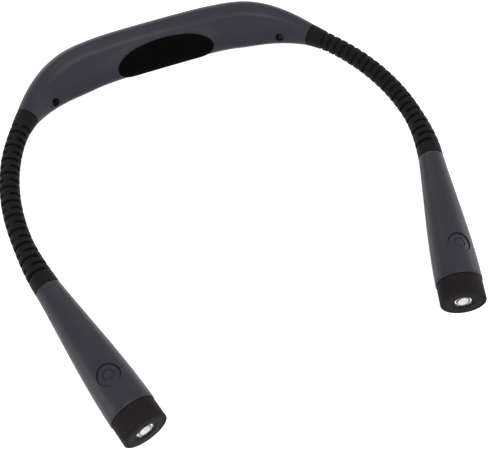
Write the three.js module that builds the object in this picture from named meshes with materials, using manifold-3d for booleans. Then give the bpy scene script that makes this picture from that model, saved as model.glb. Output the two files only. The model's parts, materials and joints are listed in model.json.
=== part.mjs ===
// Neck reading light: a padded collar band that holds the battery, two bendable arms in slotted
// rubber sleeves, and a tapered lamp head on the end of each arm.
// Lengths are in millimetres and +Z is up. The light lies on a table on its head rims and its band.
import * as THREE from "three";
import { mergeVertices } from "three/addons/utils/BufferGeometryUtils.js";
import Module from "manifold-3d";

const wasm = await Module();
wasm.setup();

// Clearances
const fitGap = 0.3; // between pieces that seat on or slide past each other
const cutOverrun = 3; // how far a cutting body runs past what it cuts

// Collar band: a path across the neck and a rounded section that turns round at its ends
const bandHalfSpan = 91.8;
const bandBow = 24.5;
const bandShoulder = 35.9;
const bandShoulderTrim = 1.1;
const bandRaise = 5.1;
const bandRaiseTrim = 6.1;
const bandHalfWidth = 14.5;
const bandHalfThickness = 8.5;
const bandEndRadius = 6.75;
const bandWall = 1.6;
const bandSeamDrop = 3.2; // the shells part this far behind the section's middle
const bandTaperShare = 0.443;
const bandEndFlare = 1.57; // how fast the section widens at the band's ends
const bandCornerPower = 3;
const roundPower = 2;
const faceTilt = THREE.MathUtils.degToRad(52.1);
const faceTiltGain = THREE.MathUtils.degToRad(5.1);
const bandStations = 22;
const bandArcSteps = 12;

// Oval neck pad, let into the inner edge of the band
const padHalfLength = 31.2;
const padHalfHeight = 12.4;
const padCentreOffset = 8.8; // from the middle of the face towards its lower edge
const padProud = 0.6;
const padSink = 0.5;
const padPoints = 24;

// Screws that close the band
const screwFromEnd = 13.4; // from the band's end towards the mirror plane
const screwOffset = 6; // from the middle of the face towards its lower edge
const screwHeadRadius = 2.3;
const screwHeadHeight = 1.5;
const screwShankRadius = 1.2;
const screwLength = 6.4;
const screwFloorDrop = 0.6; // the floor under the head, behind the section's middle
const screwSocketRadius = 1;
const screwSocketDepth = 0.8;
const bossWall = 1.1;

// Battery, charging board and charging socket inside the band
const cellLength = 52;
const cellWidth = 17;
const cellThickness = 6.6;
const cellCentre = 1.8; // towards the face
const boardThickness = 1.2;
const chargeBoardLength = 38;
const chargeBoardWidth = 15;
const socketWidth = 8.9;
const socketHeight = 3.2;
const socketInset = 0.2; // its mouth below the band's skin
const socketWall = 0.3;
const socketBackWall = 1;
const socketTongueWidth = 6.6;
const socketTongueHeight = 0.7;
const socketTongueReach = 4.4;

// Bendable arms
const slotPitch = 5.02;
const slotRows = 22;
const slotWidth = 1.7;
const slotEdge = 0.3;
const slotDepth = 1.25;
const upperCuffLength = 10.8; // band end to the first slot row
const lowerCuffLength = 9; // last slot row to the head
const waistRadius = 5.5;
const upperFlareShare = 0.13;
const upperFlarePower = 1.5;
const lowerFlareShare = 0.7;
const sleeveSides = 12;
const coreRadius = 3.4;
const coreBoreRadius = 1.5;
const coreSides = 8;
const collarLength = 3.5;
const collarInset = 1.5;
const coreTail = 3;
const firstSeamRow = 1;
const seamRowStep = 4;
const seamCount = 6;
const seamLip = 0.65; // how much wider than the sleeve the ball of a seam is
const arms = [
  { name: "left", mirror: -1, bend: 53.5, leanShare: 0.46, slotTurn: 105, slotTwist: -48, headTurn: -1.5 },
  { name: "right", mirror: 1, bend: 57.6, leanShare: -0.07, slotTurn: 0, slotTwist: 27, headTurn: 8 },
]; // angles in degrees, as bent by hand and as each sleeve and head lies on its core

// Lamp heads
const headBaseRadius = 6.85;
const headRimRadius = 11.7;
const shellLength = 80.8;
const capLength = 11.15;
const capRadius = 11.35;
const shellWall = 1.6;
const headSides = 24;
const headStations = 5;
const spigotLength = 6;
const spigotWall = 1.2;
const capFaceThickness = 1.7;
const capEdge = 0.5;
const faceGrooveInset = 1.2;
const faceGrooveWidth = 0.35;
const faceGrooveDepth = 0.3;
const lensRadius = 4.75;
const lensFlange = 1.6;
const lensThickness = 0.8;
const lensRecess = 0.4;
const lensDome = 0.3;
const reflectorLength = 5.2;
const reflectorThroat = 2.7;
const ledSide = 3.4;
const ledHeight = 0.9;
const ledBoardThickness = 1.2;

// Push button and its switch
const buttonFromRim = 17.9; // from the shell's rim back along the head
const buttonRadius = 5.6;
const buttonRecess = 0.35;
const buttonFlange = 0.9;
const buttonFlangeHeight = 0.8;
const buttonFlangeSlack = 0.75; // between its flange and the shell over it
const buttonTravel = 0.5;
const buttonMarkRadius = 2.4;
const buttonMarkWidth = 0.45;
const buttonMarkDepth = 0.25;
const switchBoardLength = 15;
const switchBoardSideGap = 0.7;
const switchSide = 6;
const switchHeight = 2.9;
const switchPlungerRadius = 1.6;
const switchPlungerHeight = 0.6;

const up = new THREE.Vector3(0, 0, 1);
const armLength = upperCuffLength + (slotRows - 1) * slotPitch + lowerCuffLength;
const buttonPlace = shellLength - buttonFromRim;
const centreHeight = headRimRadius; // the arms' plane above the table

const plastic = (color, roughness = 0.6) => new THREE.MeshStandardMaterial({ color, roughness, metalness: 0 });
const metal = (color, roughness = 0.3) => new THREE.MeshStandardMaterial({ color, roughness, metalness: 1 });
const shellGrey = plastic(0x3e3e44, 0.6);
const rubberBlack = plastic(0x1b1b1d, 0.75);
const padBlack = plastic(0x0b0b0b, 0.8);
const capBlack = plastic(0x222223, 0.55);
const lensClear = plastic(0xf2f2f2, 0.1);
const ledWhite = plastic(0xf3efd8, 0.5);
const boardGreen = plastic(0x24543a, 0.5);
const switchBlack = plastic(0x151515, 0.5);
const cellSilver = metal(0xb9bcc0, 0.45);
const steel = metal(0x8b8d92, 0.35);
const mirrorSilver = metal(0xe6e8ea, 0.1);

const light = new THREE.Group();

function addMesh(name, geometry, material, parent) {
  const mesh = new THREE.Mesh(geometry, material);
  mesh.name = name;
  parent.attach(mesh);
  return mesh;
}

// Turns the triangles of a closed mesh round if they face inwards.
function facingOut(positions, index) {
  const corner = (i) => new THREE.Vector3().fromArray(positions, 3 * index[i]);
  let volume = 0;
  for (let i = 0; i < index.length; i += 3) {
    volume += corner(i).dot(corner(i + 1).cross(corner(i + 2)));
  }
  if (volume < 0) {
    for (let i = 0; i < index.length; i += 3) [index[i], index[i + 1]] = [index[i + 1], index[i]];
  }
  return index;
}

function geometryOf(points, index) {
  const positions = points.flatMap((p) => p.toArray());
  const geometry = new THREE.BufferGeometry();
  geometry.setAttribute("position", new THREE.Float32BufferAttribute(positions, 3));
  geometry.setIndex(facingOut(positions, index));
  geometry.computeVertexNormals();
  return geometry;
}

// A closed body through rings of equal counts. In a loop of rings the last joins the first;
// otherwise a fan closes each end.
function ringBody(rings, loop) {
  const count = rings[0].length;
  const points = rings.flat();
  const index = [];
  const bands = loop ? rings.length : rings.length - 1;
  for (let r = 0; r < bands; r++) {
    const low = r * count;
    const high = ((r + 1) % rings.length) * count;
    for (let i = 0; i < count; i++) {
      const j = (i + 1) % count;
      index.push(low + i, low + j, high + j, low + i, high + j, high + i);
    }
  }
  if (!loop) {
    const last = (rings.length - 1) * count;
    for (let i = 1; i < count - 1; i++) {
      index.push(0, i + 1, i, last, last + i, last + i + 1);
    }
  }
  return geometryOf(points, index);
}

function solid(geometry) {
  const bare = geometry.clone();
  bare.deleteAttribute("normal");
  bare.deleteAttribute("uv");
  const merged = mergeVertices(bare.index ? bare.toNonIndexed() : bare, 1e-4);
  const vertProperties = new Float32Array(merged.attributes.position.array);
  const triVerts = new Uint32Array(merged.index.array);
  return new wasm.Manifold(new wasm.Mesh({ numProp: 3, vertProperties, triVerts }));
}

function unsolid(body) {
  const mesh = body.getMesh();
  const geometry = new THREE.BufferGeometry();
  geometry.setAttribute("position", new THREE.Float32BufferAttribute(mesh.vertProperties, 3));
  geometry.setIndex([...mesh.triVerts]);
  geometry.computeVertexNormals();
  return geometry;
}

// A cylinder or cone along +Z from z = low to z = high.
function rod(radius, low, high, sides, topRadius = radius) {
  const geometry = new THREE.CylinderGeometry(topRadius, radius, high - low, sides);
  return geometry.rotateX(Math.PI / 2).translate(0, 0, (low + high) / 2);
}

function block(width, depth, height, x = 0, y = 0, z = 0) {
  return new THREE.BoxGeometry(width, depth, height).translate(x, y, z);
}

// A body turned round +Z from a closed outline of [radius, height] points.
function turned(outline, sides) {
  const points = [...outline, outline[0]].map(([r, z]) => new THREE.Vector2(r, z));
  return new THREE.LatheGeometry(points, sides).rotateX(Math.PI / 2);
}

// Band path at u, which runs from -1 at the left end to 1 at the right end.
function bandPoint(u) {
  const y = bandBow * (1 - u ** 2) + bandShoulder * (u ** 2 - u ** 4) - bandShoulderTrim * (u ** 4 - u ** 8);
  const z = bandRaise * (1 - u ** 2) - bandRaiseTrim * (u ** 2 - u ** 4);
  return new THREE.Vector3(bandHalfSpan * u, y, centreHeight + z);
}

function bandAlong(u) {
  const slopeY = -2 * bandBow * u + bandShoulder * (2 * u - 4 * u ** 3) - bandShoulderTrim * (4 * u ** 3 - 8 * u ** 7);
  const slopeZ = -2 * bandRaise * u - bandRaiseTrim * (2 * u - 4 * u ** 3);
  return new THREE.Vector3(bandHalfSpan, slopeY, slopeZ).normalize();
}

// The section's frame and sizes: face points out of the wide face, edge towards its upper edge.
function bandSection(u) {
  const along = bandAlong(u);
  const inward = new THREE.Vector3().crossVectors(along, up).normalize();
  const rise = new THREE.Vector3().crossVectors(inward, along);
  const tilt = faceTilt + faceTiltGain * u ** 2;
  const face = inward.clone().multiplyScalar(Math.sin(tilt)).addScaledVector(rise, Math.cos(tilt));
  const edge = inward.clone().multiplyScalar(-Math.cos(tilt)).addScaledVector(rise, Math.sin(tilt));
  const taper = Math.min(1, (1 - Math.abs(u)) / bandTaperShare);
  const fill = THREE.MathUtils.smoothstep(taper, 0, 1) + bandEndFlare * taper * (1 - taper) ** 2;
  return {
    centre: bandPoint(u),
    along,
    face,
    edge,
    halfWidth: THREE.MathUtils.lerp(bandEndRadius, bandHalfWidth, fill),
    halfThickness: THREE.MathUtils.lerp(bandEndRadius, bandHalfThickness, fill),
    power: THREE.MathUtils.lerp(roundPower, bandCornerPower, fill),
  };
}

// Section point at an angle, drawn in by inset: width runs along edge, height along face.
function sectionOffsets(section, angle, inset) {
  const bulge = (value) => Math.sign(value) * Math.abs(value) ** (2 / section.power);
  return {
    width: (section.halfWidth - inset) * bulge(Math.cos(angle)),
    height: (section.halfThickness - inset) * bulge(Math.sin(angle)),
  };
}

function sectionPlace(section, width, height) {
  return section.centre.clone().addScaledVector(section.edge, width).addScaledVector(section.face, height);
}

// The angle below the section's middle at which its outline is at the given depth.
function seamAngle(section, depth, inset) {
  return Math.asin((depth / (section.halfThickness - inset)) ** (section.power / 2));
}

// One half of the band's shell: the face half, or the back half.
function bandHalf(isFace) {
  const rings = [];
  for (let i = 0; i <= bandStations; i++) {
    const section = bandSection((2 * i) / bandStations - 1);
    const depth = bandSeamDrop + (isFace ? 0 : fitGap);
    const arc = (inset) => {
      const drop = seamAngle(section, depth, inset);
      const start = isFace ? -drop : Math.PI + drop;
      const sweep = isFace ? Math.PI + 2 * drop : Math.PI - 2 * drop;
      return Array.from({ length: bandArcSteps + 1 }, (_, k) => {
        const offsets = sectionOffsets(section, start + (sweep * k) / bandArcSteps, inset);
        return sectionPlace(section, offsets.width, offsets.height);
      });
    };
    rings.push([...arc(0), ...arc(bandWall).reverse()]);
  }
  return solid(cappedHalf(rings));
}

// Closes the C-shaped ends of a half shell with quads between its outer and inner arcs.
function cappedHalf(rings) {
  const count = rings[0].length;
  const points = rings.flat();
  const index = [];
  for (let r = 0; r < rings.length - 1; r++) {
    for (let i = 0; i < count; i++) {
      const j = (i + 1) % count;
      const [a, b, c, d] = [r * count + i, r * count + j, (r + 1) * count + j, (r + 1) * count + i];
      index.push(a, b, c, a, c, d);
    }
  }
  const last = (rings.length - 1) * count;
  for (let i = 0; i < bandArcSteps; i++) {
    const inner = count - 1 - i;
    index.push(i, inner - 1, i + 1, i, inner, inner - 1);
    index.push(last + i, last + i + 1, last + inner - 1, last + i, last + inner - 1, last + inner);
  }
  return geometryOf(points, index);
}

// Points on the band's skin, by x and by the arc from the section's lower edge up the face.
function skinPoint(x, arc, proud) {
  const section = bandSection(x / bandHalfSpan);
  const step = Math.PI / 90;
  let angle = Math.PI;
  let covered = 0;
  let here = sectionOffsets(section, angle, 0);
  while (covered < Math.abs(arc)) {
    const next = sectionOffsets(section, angle - Math.sign(arc) * step, 0);
    const stride = Math.hypot(next.width - here.width, next.height - here.height);
    const part = Math.min(1, (Math.abs(arc) - covered) / stride);
    covered += stride;
    angle -= Math.sign(arc) * step * part;
    here = next;
  }
  here = sectionOffsets(section, angle, 0);
  const lean = (value, half) => (Math.sign(value) * Math.abs(value / half) ** (section.power - 1)) / half;
  const across = lean(here.width, section.halfWidth);
  const out = lean(here.height, section.halfThickness);
  const length = Math.hypot(across, out);
  return sectionPlace(section, here.width + (proud * across) / length, here.height + (proud * out) / length);
}

// The pad's centre as an arc from the lower edge, found by walking up the face.
function padCentreArc() {
  const section = bandSection(0);
  const steps = 90;
  let arc = 0;
  let before = sectionOffsets(section, Math.PI, 0);
  for (let i = 1; i <= steps; i++) {
    const next = sectionOffsets(section, Math.PI - (Math.PI / 2) * (i / steps), 0);
    if (next.width > -padCentreOffset) break;
    arc += Math.hypot(next.width - before.width, next.height - before.height);
    before = next;
  }
  return arc;
}

// The oval pad between a sunk underside and a proud top, grown all round by grow.
function padBody(grow, sunk, proud) {
  const centre = padCentreArc();
  const edge = Math.min(padProud, padHalfHeight) / padHalfHeight;
  const ring = (share, height) =>
    Array.from({ length: padPoints }, (_, i) => {
      const turn = (2 * Math.PI * i) / padPoints;
      const x = (padHalfLength + grow) * share * Math.cos(turn);
      return skinPoint(x, centre + (padHalfHeight + grow) * share * Math.sin(turn), height);
    });
  const shares = [0.3, 0.65, 1 - edge];
  const top = shares.map((share) => ring(share, proud));
  const under = [...shares].reverse().map((share) => ring(share, -sunk));
  return solid(ringBody([...top, ring(1, 0), ring(1, -sunk), ...under], false));
}

function screwPlace(mirror) {
  const section = bandSection(mirror * (1 - screwFromEnd / bandHalfSpan));
  const frame = new THREE.Matrix4().makeBasis(section.along, section.edge, section.face);
  return frame.setPosition(sectionPlace(section, -screwOffset, 0));
}

function placedSolid(geometry, matrix) {
  return solid(geometry.applyMatrix4(matrix));
}

// Cut to the inside of the band, so that a boss joins the wall and stays off the outside.
function bandInside(body) {
  const rings = [];
  for (let i = 0; i <= bandStations; i++) {
    const section = bandSection((2 * i) / bandStations - 1);
    rings.push(
      Array.from({ length: 2 * bandArcSteps }, (_, k) => {
        const offsets = sectionOffsets(section, (Math.PI * k) / bandArcSteps, bandWall / 2);
        return sectionPlace(section, offsets.width, offsets.height);
      }),
    );
  }
  return body.intersect(solid(ringBody(rings, false)));
}

function bandSolids() {
  let face = bandHalf(true);
  let back = bandHalf(false);
  const bossRadius = screwHeadRadius + fitGap + bossWall;
  const postRadius = screwShankRadius + fitGap + bossWall;
  const split = -bandSeamDrop;
  const seat = fitGap - screwFloorDrop;
  for (const mirror of [-1, 1]) {
    const place = screwPlace(mirror);
    const boss = bandInside(placedSolid(rod(bossRadius, split, bandHalfThickness, 16), place));
    const post = bandInside(placedSolid(rod(postRadius, -bandHalfThickness, split - fitGap, 16), place));
    const head = rod(screwHeadRadius + fitGap, -screwFloorDrop, bandHalfThickness + cutOverrun, 16);
    const hole = rod(screwShankRadius + fitGap, split - cutOverrun, bandHalfThickness, 12);
    const pilotEnd = seat + screwHeadHeight - screwLength - fitGap;
    const pilot = rod(screwShankRadius + fitGap, pilotEnd, split + cutOverrun, 12);
    face = face.add(boss).subtract(placedSolid(head, place)).subtract(placedSolid(hole, place));
    back = back.add(post).subtract(placedSolid(pilot, place));
  }
  face = face.subtract(padBody(fitGap, padSink + fitGap, cutOverrun));
  const mouth = block(socketWidth + 2 * fitGap, socketHeight + 2 * fitGap, bandHalfThickness + cutOverrun);
  mouth.translate(0, 0, -(bandHalfThickness + cutOverrun) / 2 - bandHalfThickness / 2);
  back = back.subtract(placedSolid(mouth, bandMiddle()));
  return { face, back };
}

// The frame of the band's middle: x along, y towards the upper edge, z out of the face.
function bandMiddle() {
  const section = bandSection(0);
  return new THREE.Matrix4().makeBasis(section.along, section.edge, section.face).setPosition(section.centre);
}

function screwGeometry() {
  const seat = fitGap - screwFloorDrop;
  const top = seat + screwHeadHeight;
  const shank = solid(rod(screwShankRadius, top - screwLength, seat + screwHeadHeight / 2, 12));
  const socket = solid(rod(screwSocketRadius, top - screwSocketDepth, top + cutOverrun, 6));
  return solid(rod(screwHeadRadius, seat, top, 16)).add(shank).subtract(socket);
}

function chargingSocket(top) {
  const low = -bandHalfThickness + socketInset;
  const depth = top - low;
  const body = solid(block(socketWidth, socketHeight, depth, 0, 0, low + depth / 2));
  const hollowDepth = depth - socketBackWall + cutOverrun;
  const hollow = block(socketWidth - 2 * socketWall, socketHeight - 2 * socketWall, hollowDepth);
  hollow.translate(0, 0, top - socketBackWall - hollowDepth / 2);
  const tongueLength = socketTongueReach + socketWall;
  const tongue = block(socketTongueWidth, socketTongueHeight, tongueLength);
  tongue.translate(0, 0, top - socketBackWall + socketWall - tongueLength / 2);
  return body.subtract(solid(hollow)).add(solid(tongue));
}

function buildBand() {
  const { face, back } = bandSolids();
  addMesh("band_face_shell", unsolid(face), shellGrey, light);
  addMesh("band_back_shell", unsolid(back), shellGrey, light);
  addMesh("neck_pad", unsolid(padBody(0, padSink, padProud)), padBlack, light);
  for (const { name, mirror } of arms) {
    const screw = unsolid(screwGeometry()).applyMatrix4(screwPlace(mirror));
    addMesh("shell_screw_" + name, screw, steel, light);
  }
  const middle = bandMiddle();
  const cell = block(cellLength, cellWidth, cellThickness, 0, 0, cellCentre).applyMatrix4(middle);
  addMesh("battery_cell", cell, cellSilver, light);
  const boardTop = cellCentre - cellThickness / 2 - fitGap;
  const board = solid(
    block(chargeBoardLength, chargeBoardWidth, boardThickness, 0, 0, boardTop - boardThickness / 2),
  );
  const slot = solid(
    block(socketWidth + 2 * fitGap, socketHeight + 2 * fitGap, cutOverrun, 0, 0, boardTop - boardThickness / 2),
  );
  addMesh("charge_board", unsolid(board.subtract(slot)).applyMatrix4(middle), boardGreen, light);
  addMesh("charging_socket", unsolid(chargingSocket(boardTop)).applyMatrix4(middle), steel, light);
}

// The arm's heading from -Y towards its own side, at a distance s from the band.
function armHeading(arm, s) {
  const start = Math.atan2(bandAlong(1).x, -bandAlong(1).y);
  const u = THREE.MathUtils.clamp(s / armLength, 0, 1);
  return start - THREE.MathUtils.degToRad(arm.bend) * (u + arm.leanShare * u * (1 - u));
}

// Place and frame of the arm's centreline at s; beyond its ends it runs straight on.
function armAt(arm, s) {
  const steps = 60;
  const inside = THREE.MathUtils.clamp(s, 0, armLength);
  const point = new THREE.Vector3(arm.mirror * bandHalfSpan, 0, centreHeight);
  for (let i = 0; i < steps; i++) {
    const heading = armHeading(arm, (inside * (i + 0.5)) / steps);
    point.x += (arm.mirror * Math.sin(heading) * inside) / steps;
    point.y -= (Math.cos(heading) * inside) / steps;
  }
  const heading = armHeading(arm, inside);
  const along = new THREE.Vector3(arm.mirror * Math.sin(heading), -Math.cos(heading), 0);
  point.addScaledVector(along, s - inside);
  const turn = THREE.MathUtils.degToRad(arm.slotTurn + (arm.slotTwist * inside) / armLength);
  return { point, along, side: new THREE.Vector3().crossVectors(along, up), turn };
}

function sleeveRadius(s) {
  const u = THREE.MathUtils.clamp(s / armLength, 0, 1);
  const upper = (bandEndRadius - waistRadius) * Math.max(0, 1 - u / upperFlareShare) ** upperFlarePower;
  const lower = (headBaseRadius - waistRadius) * THREE.MathUtils.smoothstep(u, lowerFlareShare, 1);
  return waistRadius + upper + lower;
}

// A ring of points round a frame, shifted along it; radiusAt gives each point's radius.
function ringAt(frame, shift, sides, radiusAt) {
  return Array.from({ length: sides }, (_, i) => {
    const angle = (2 * Math.PI * (i + 0.5)) / sides + frame.turn;
    const radius = radiusAt(i);
    return frame.point
      .clone()
      .addScaledVector(frame.along, shift)
      .addScaledVector(frame.side, radius * Math.cos(angle))
      .addScaledVector(up, radius * Math.sin(angle));
  });
}

const rowPlace = (row) => upperCuffLength + row * slotPitch;

// A seam is a ball on the outer link that sits in a hollow of the inner link, centred on the hinge.
function seamAt(arm, number) {
  const row = firstSeamRow + (number - 1) * seamRowStep;
  const radius = sleeveRadius(rowPlace(row));
  const ball = radius + seamLip;
  const centre = rowPlace(row) + Math.sqrt((ball + fitGap / 2) ** 2 - radius ** 2);
  return { row, radius, ball, centre, frame: armAt(arm, centre) };
}

// Rings on a sphere about a seam's hinge point, from the outer radius in to the bore.
function seamRings(seam, sphere, outer, bore, sides) {
  const share = [0, 0.5, 1];
  return share.map((t) => {
    const radius = THREE.MathUtils.lerp(outer, bore, t);
    return ringAt(seam.frame, -Math.sqrt(sphere ** 2 - radius ** 2), sides, () => radius);
  });
}

// Two webs, half a turn apart, bridge each slot row, and lie a quarter turn on in the next row.
function slotRadius(row, radius) {
  const half = sleeveSides / 2;
  const webs = row % 2 ? [sleeveSides / 4 - 1, sleeveSides / 4] : [half - 1, 0];
  return (i) => (webs.includes(i % half) ? radius : radius - slotDepth);
}

function slotRings(arm, row) {
  const place = rowPlace(row);
  const edges = [-slotWidth / 2, -slotWidth / 2 + slotEdge, slotWidth / 2 - slotEdge, slotWidth / 2];
  return edges.map((edge, k) => {
    const radius = sleeveRadius(place + edge);
    const isFloor = k === 1 || k === 2;
    return ringAt(armAt(arm, place + edge), 0, sleeveSides, isFloor ? slotRadius(row, radius) : () => radius);
  });
}

function plainRings(arm, places, sides, radiusAt) {
  return places.map((s) => ringAt(armAt(arm, s), 0, sides, () => radiusAt(s)));
}

// The sleeve of one link, from the seam before it to the seam after it.
function sleeveLink(arm, number) {
  const bore = coreRadius + fitGap;
  const before = number > 1 ? seamAt(arm, number - 1) : null;
  const after = number <= seamCount ? seamAt(arm, number) : null;
  const firstRow = before ? before.row + 1 : 0;
  const lastRow = after ? after.row - 1 : slotRows - 1;
  const outer = [];
  if (before) {
    const rim = rowPlace(before.row) + slotWidth / 2;
    outer.push(...plainRings(arm, [rim], sleeveSides, sleeveRadius));
  } else {
    outer.push(...plainRings(arm, [fitGap, upperCuffLength / 2], sleeveSides, sleeveRadius));
  }
  for (let row = firstRow; row <= lastRow; row++) outer.push(...slotRings(arm, row));
  if (after) {
    const rim = rowPlace(after.row) - slotWidth / 2;
    outer.push(...plainRings(arm, [rim], sleeveSides, sleeveRadius));
    const sphere = after.ball + fitGap;
    outer.push(...seamRings(after, sphere, after.radius - slotDepth + slotEdge, bore, sleeveSides));
  } else {
    const end = armLength - fitGap;
    outer.push(...plainRings(arm, [(rowPlace(lastRow) + end) / 2 + slotWidth / 2, end], sleeveSides, sleeveRadius));
    outer.push(...plainRings(arm, [end], sleeveSides, () => bore));
  }
  const from = before ? before.centre : fitGap;
  const to = after ? rowPlace(after.row) - slotPitch : armLength - fitGap - slotPitch;
  outer.push(...plainRings(arm, [to, from + (to - from) / 3], sleeveSides, () => bore));
  if (before) {
    const sphere = before.ball;
    const start = seamRings(before, sphere, before.radius - slotDepth + slotEdge, bore, sleeveSides);
    outer.push(...start.reverse());
  } else {
    outer.push(...plainRings(arm, [fitGap], sleeveSides, () => bore));
  }
  return ringBody(outer, true);
}

// The gooseneck core of one link, with a collar where it is anchored in the band or the head.
function coreLink(arm, number) {
  const before = number > 1 ? seamAt(arm, number - 1) : null;
  const after = number <= seamCount ? seamAt(arm, number) : null;
  const rings = [];
  const plain = (places, radius) => rings.push(...plainRings(arm, places, coreSides, () => radius));
  if (before) {
    rings.push(...seamRings(before, before.ball, coreBoreRadius, coreRadius, coreSides));
  } else {
    const collar = bandEndRadius - bandWall - fitGap;
    const start = -collarInset - collarLength;
    plain([start - coreTail], coreBoreRadius);
    plain([start - coreTail, start], coreRadius);
    plain([start, start + collarLength], collar);
    plain([start + collarLength, fitGap], coreRadius);
  }
  const from = before ? before.centre : fitGap + slotPitch;
  const to = after ? rowPlace(after.row) - slotPitch : armLength - slotPitch;
  if (to - from > slotPitch) plain([from, (from + to) / 2, to], coreRadius);
  if (after) {
    rings.push(...seamRings(after, after.ball + fitGap, coreRadius, coreBoreRadius, coreSides));
  } else {
    const collar = headBaseRadius - shellWall - fitGap;
    const start = armLength + collarInset;
    plain([start], coreRadius);
    plain([start, start + collarLength], collar);
    plain([start + collarLength, start + collarLength + coreTail], coreRadius);
    plain([start + collarLength + coreTail], coreBoreRadius);
  }
  if (to - from > slotPitch) plain([to, (from + to) / 2, from], coreBoreRadius);
  return ringBody(rings, true);
}

// Nested groups, one at each hinge point, hold the links from the band out to the head.
function buildArm(arm) {
  let link = new THREE.Group();
  light.attach(link);
  for (let number = 1; number <= seamCount + 1; number++) {
    if (number > 1) {
      const { frame } = seamAt(arm, number - 1);
      const next = new THREE.Group();
      const basis = new THREE.Matrix4().makeBasis(frame.side, frame.along, up);
      next.quaternion.setFromRotationMatrix(basis);
      next.position.copy(frame.point);
      next.updateMatrixWorld(true);
      link.attach(next);
      link = next;
    }
    link.updateWorldMatrix(true, false);
    addMesh(arm.name + "_sleeve_" + number, sleeveLink(arm, number), rubberBlack, link);
    addMesh(arm.name + "_core_" + number, coreLink(arm, number), steel, link);
  }
  buildHead(arm, link);
}

// The shell widens from its base and runs out straight at its rim.
function shellRadius(place) {
  const u = place / shellLength;
  return THREE.MathUtils.lerp(headBaseRadius, headRimRadius, u + u ** 2 - u ** 3);
}

// Height of the button's underside above the head's axis: its flange hangs just under the shell.
function buttonFoot() {
  const inside = shellRadius(buttonPlace) - shellWall;
  const overFlange = Math.sqrt(inside ** 2 - (buttonRadius + buttonFlange) ** 2);
  return overFlange - buttonFlangeSlack - buttonFlangeHeight;
}

// The head's tapered tube, cut into an upper and a lower half along its axis.
function headShells() {
  const places = Array.from({ length: headStations + 1 }, (_, k) => (shellLength * k) / headStations);
  const outside = places.map((place) => [shellRadius(place), place]);
  const inside = places.map((place) => [shellRadius(place) - shellWall, place]).reverse();
  const tube = solid(turned([...outside, ...inside], headSides));
  const side = 2 * headRimRadius + 2 * cutOverrun;
  const span = shellLength + 2 * cutOverrun;
  const half = (sign) => solid(block(side, side, span, 0, sign * (side / 2 + fitGap / 2), shellLength / 2));
  const hole = rod(buttonRadius + fitGap, 0, headRimRadius + cutOverrun, 24).rotateX(-Math.PI / 2);
  hole.translate(0, 0, buttonPlace);
  return { upper: tube.intersect(half(1)).subtract(solid(hole)), lower: tube.intersect(half(-1)) };
}

const spigotRadius = () => shellRadius(shellLength - spigotLength) - shellWall - fitGap;

function capGeometry() {
  const start = shellLength + fitGap;
  const end = shellLength + capLength;
  const spigot = spigotRadius();
  const bore = spigot - spigotWall;
  const groove = capRadius - faceGrooveInset;
  const inner = end - capFaceThickness;
  return turned(
    [
      [spigot, shellLength - spigotLength],
      [spigot, start],
      [capRadius, start],
      [capRadius, end - capEdge],
      [capRadius - capEdge, end],
      [groove, end],
      [groove, end - faceGrooveDepth],
      [groove - faceGrooveWidth, end - faceGrooveDepth],
      [groove - faceGrooveWidth, end],
      [lensRadius, end],
      [lensRadius, inner],
      [bore, inner],
      [bore, shellLength - spigotLength],
    ],
    headSides,
  );
}

function lensGeometry() {
  const front = shellLength + capLength - lensRecess;
  const inner = shellLength + capLength - capFaceThickness - fitGap;
  const rim = lensRadius - fitGap;
  const points = [
    [0, inner - lensThickness],
    [lensRadius + lensFlange, inner - lensThickness],
    [lensRadius + lensFlange, inner],
    [rim, inner],
    [rim, front - lensDome],
    [rim / 2, front - lensDome / 4],
    [0, front],
  ];
  return new THREE.LatheGeometry(points.map(([r, z]) => new THREE.Vector2(r, z)), headSides).rotateX(Math.PI / 2);
}

// Places along the head, from the lens back to the lamp's board.
function lampPlaces() {
  const lensBack = shellLength + capLength - capFaceThickness - fitGap - lensThickness;
  const reflectorFront = lensBack - fitGap;
  const reflectorBack = reflectorFront - reflectorLength;
  const boardFront = reflectorBack - fitGap;
  return { reflectorFront, reflectorBack, boardFront, boardBack: boardFront - ledBoardThickness };
}

const boreRadius = () => spigotRadius() - spigotWall;

function reflectorGeometry() {
  const { reflectorFront, reflectorBack } = lampPlaces();
  const outer = boreRadius() - fitGap;
  const middle = (reflectorFront + reflectorBack) / 2;
  return turned(
    [
      [outer, reflectorFront - reflectorLength / 4],
      [outer, reflectorFront],
      [lensRadius, reflectorFront],
      [(2 * lensRadius + reflectorThroat) / 3, middle],
      [reflectorThroat, reflectorBack],
      [(outer + reflectorThroat) / 2, reflectorBack],
    ],
    headSides,
  );
}

// The solid inside of the head at the button, drawn in below the shell's skin.
function buttonGeometry() {
  const span = 2 * (buttonRadius + fitGap);
  const low = buttonPlace - span / 2;
  const high = buttonPlace + span / 2;
  const crown = solid(rod(shellRadius(low) - buttonRecess, low, high, 48, shellRadius(high) - buttonRecess));
  const foot = buttonFoot();
  const flangeTop = foot + buttonFlangeHeight;
  const stem = solid(rod(buttonRadius, foot, headRimRadius, 32).rotateX(-Math.PI / 2).translate(0, 0, buttonPlace));
  const flange = rod(buttonRadius + buttonFlange, foot, flangeTop, 32).rotateX(-Math.PI / 2);
  const topHeight = shellRadius(buttonPlace) - buttonRecess;
  const markOuter = rod(buttonMarkRadius + buttonMarkWidth, topHeight - buttonMarkDepth, headRimRadius, 24);
  const markInner = rod(buttonMarkRadius, 0, headRimRadius + cutOverrun, 24);
  const mark = solid(markOuter).subtract(solid(markInner));
  const turnedMark = solid(unsolid(mark).rotateX(-Math.PI / 2).translate(0, 0, buttonPlace));
  return unsolid(
    stem.intersect(crown).subtract(turnedMark).add(solid(flange.translate(0, 0, buttonPlace))),
  );
}

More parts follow.
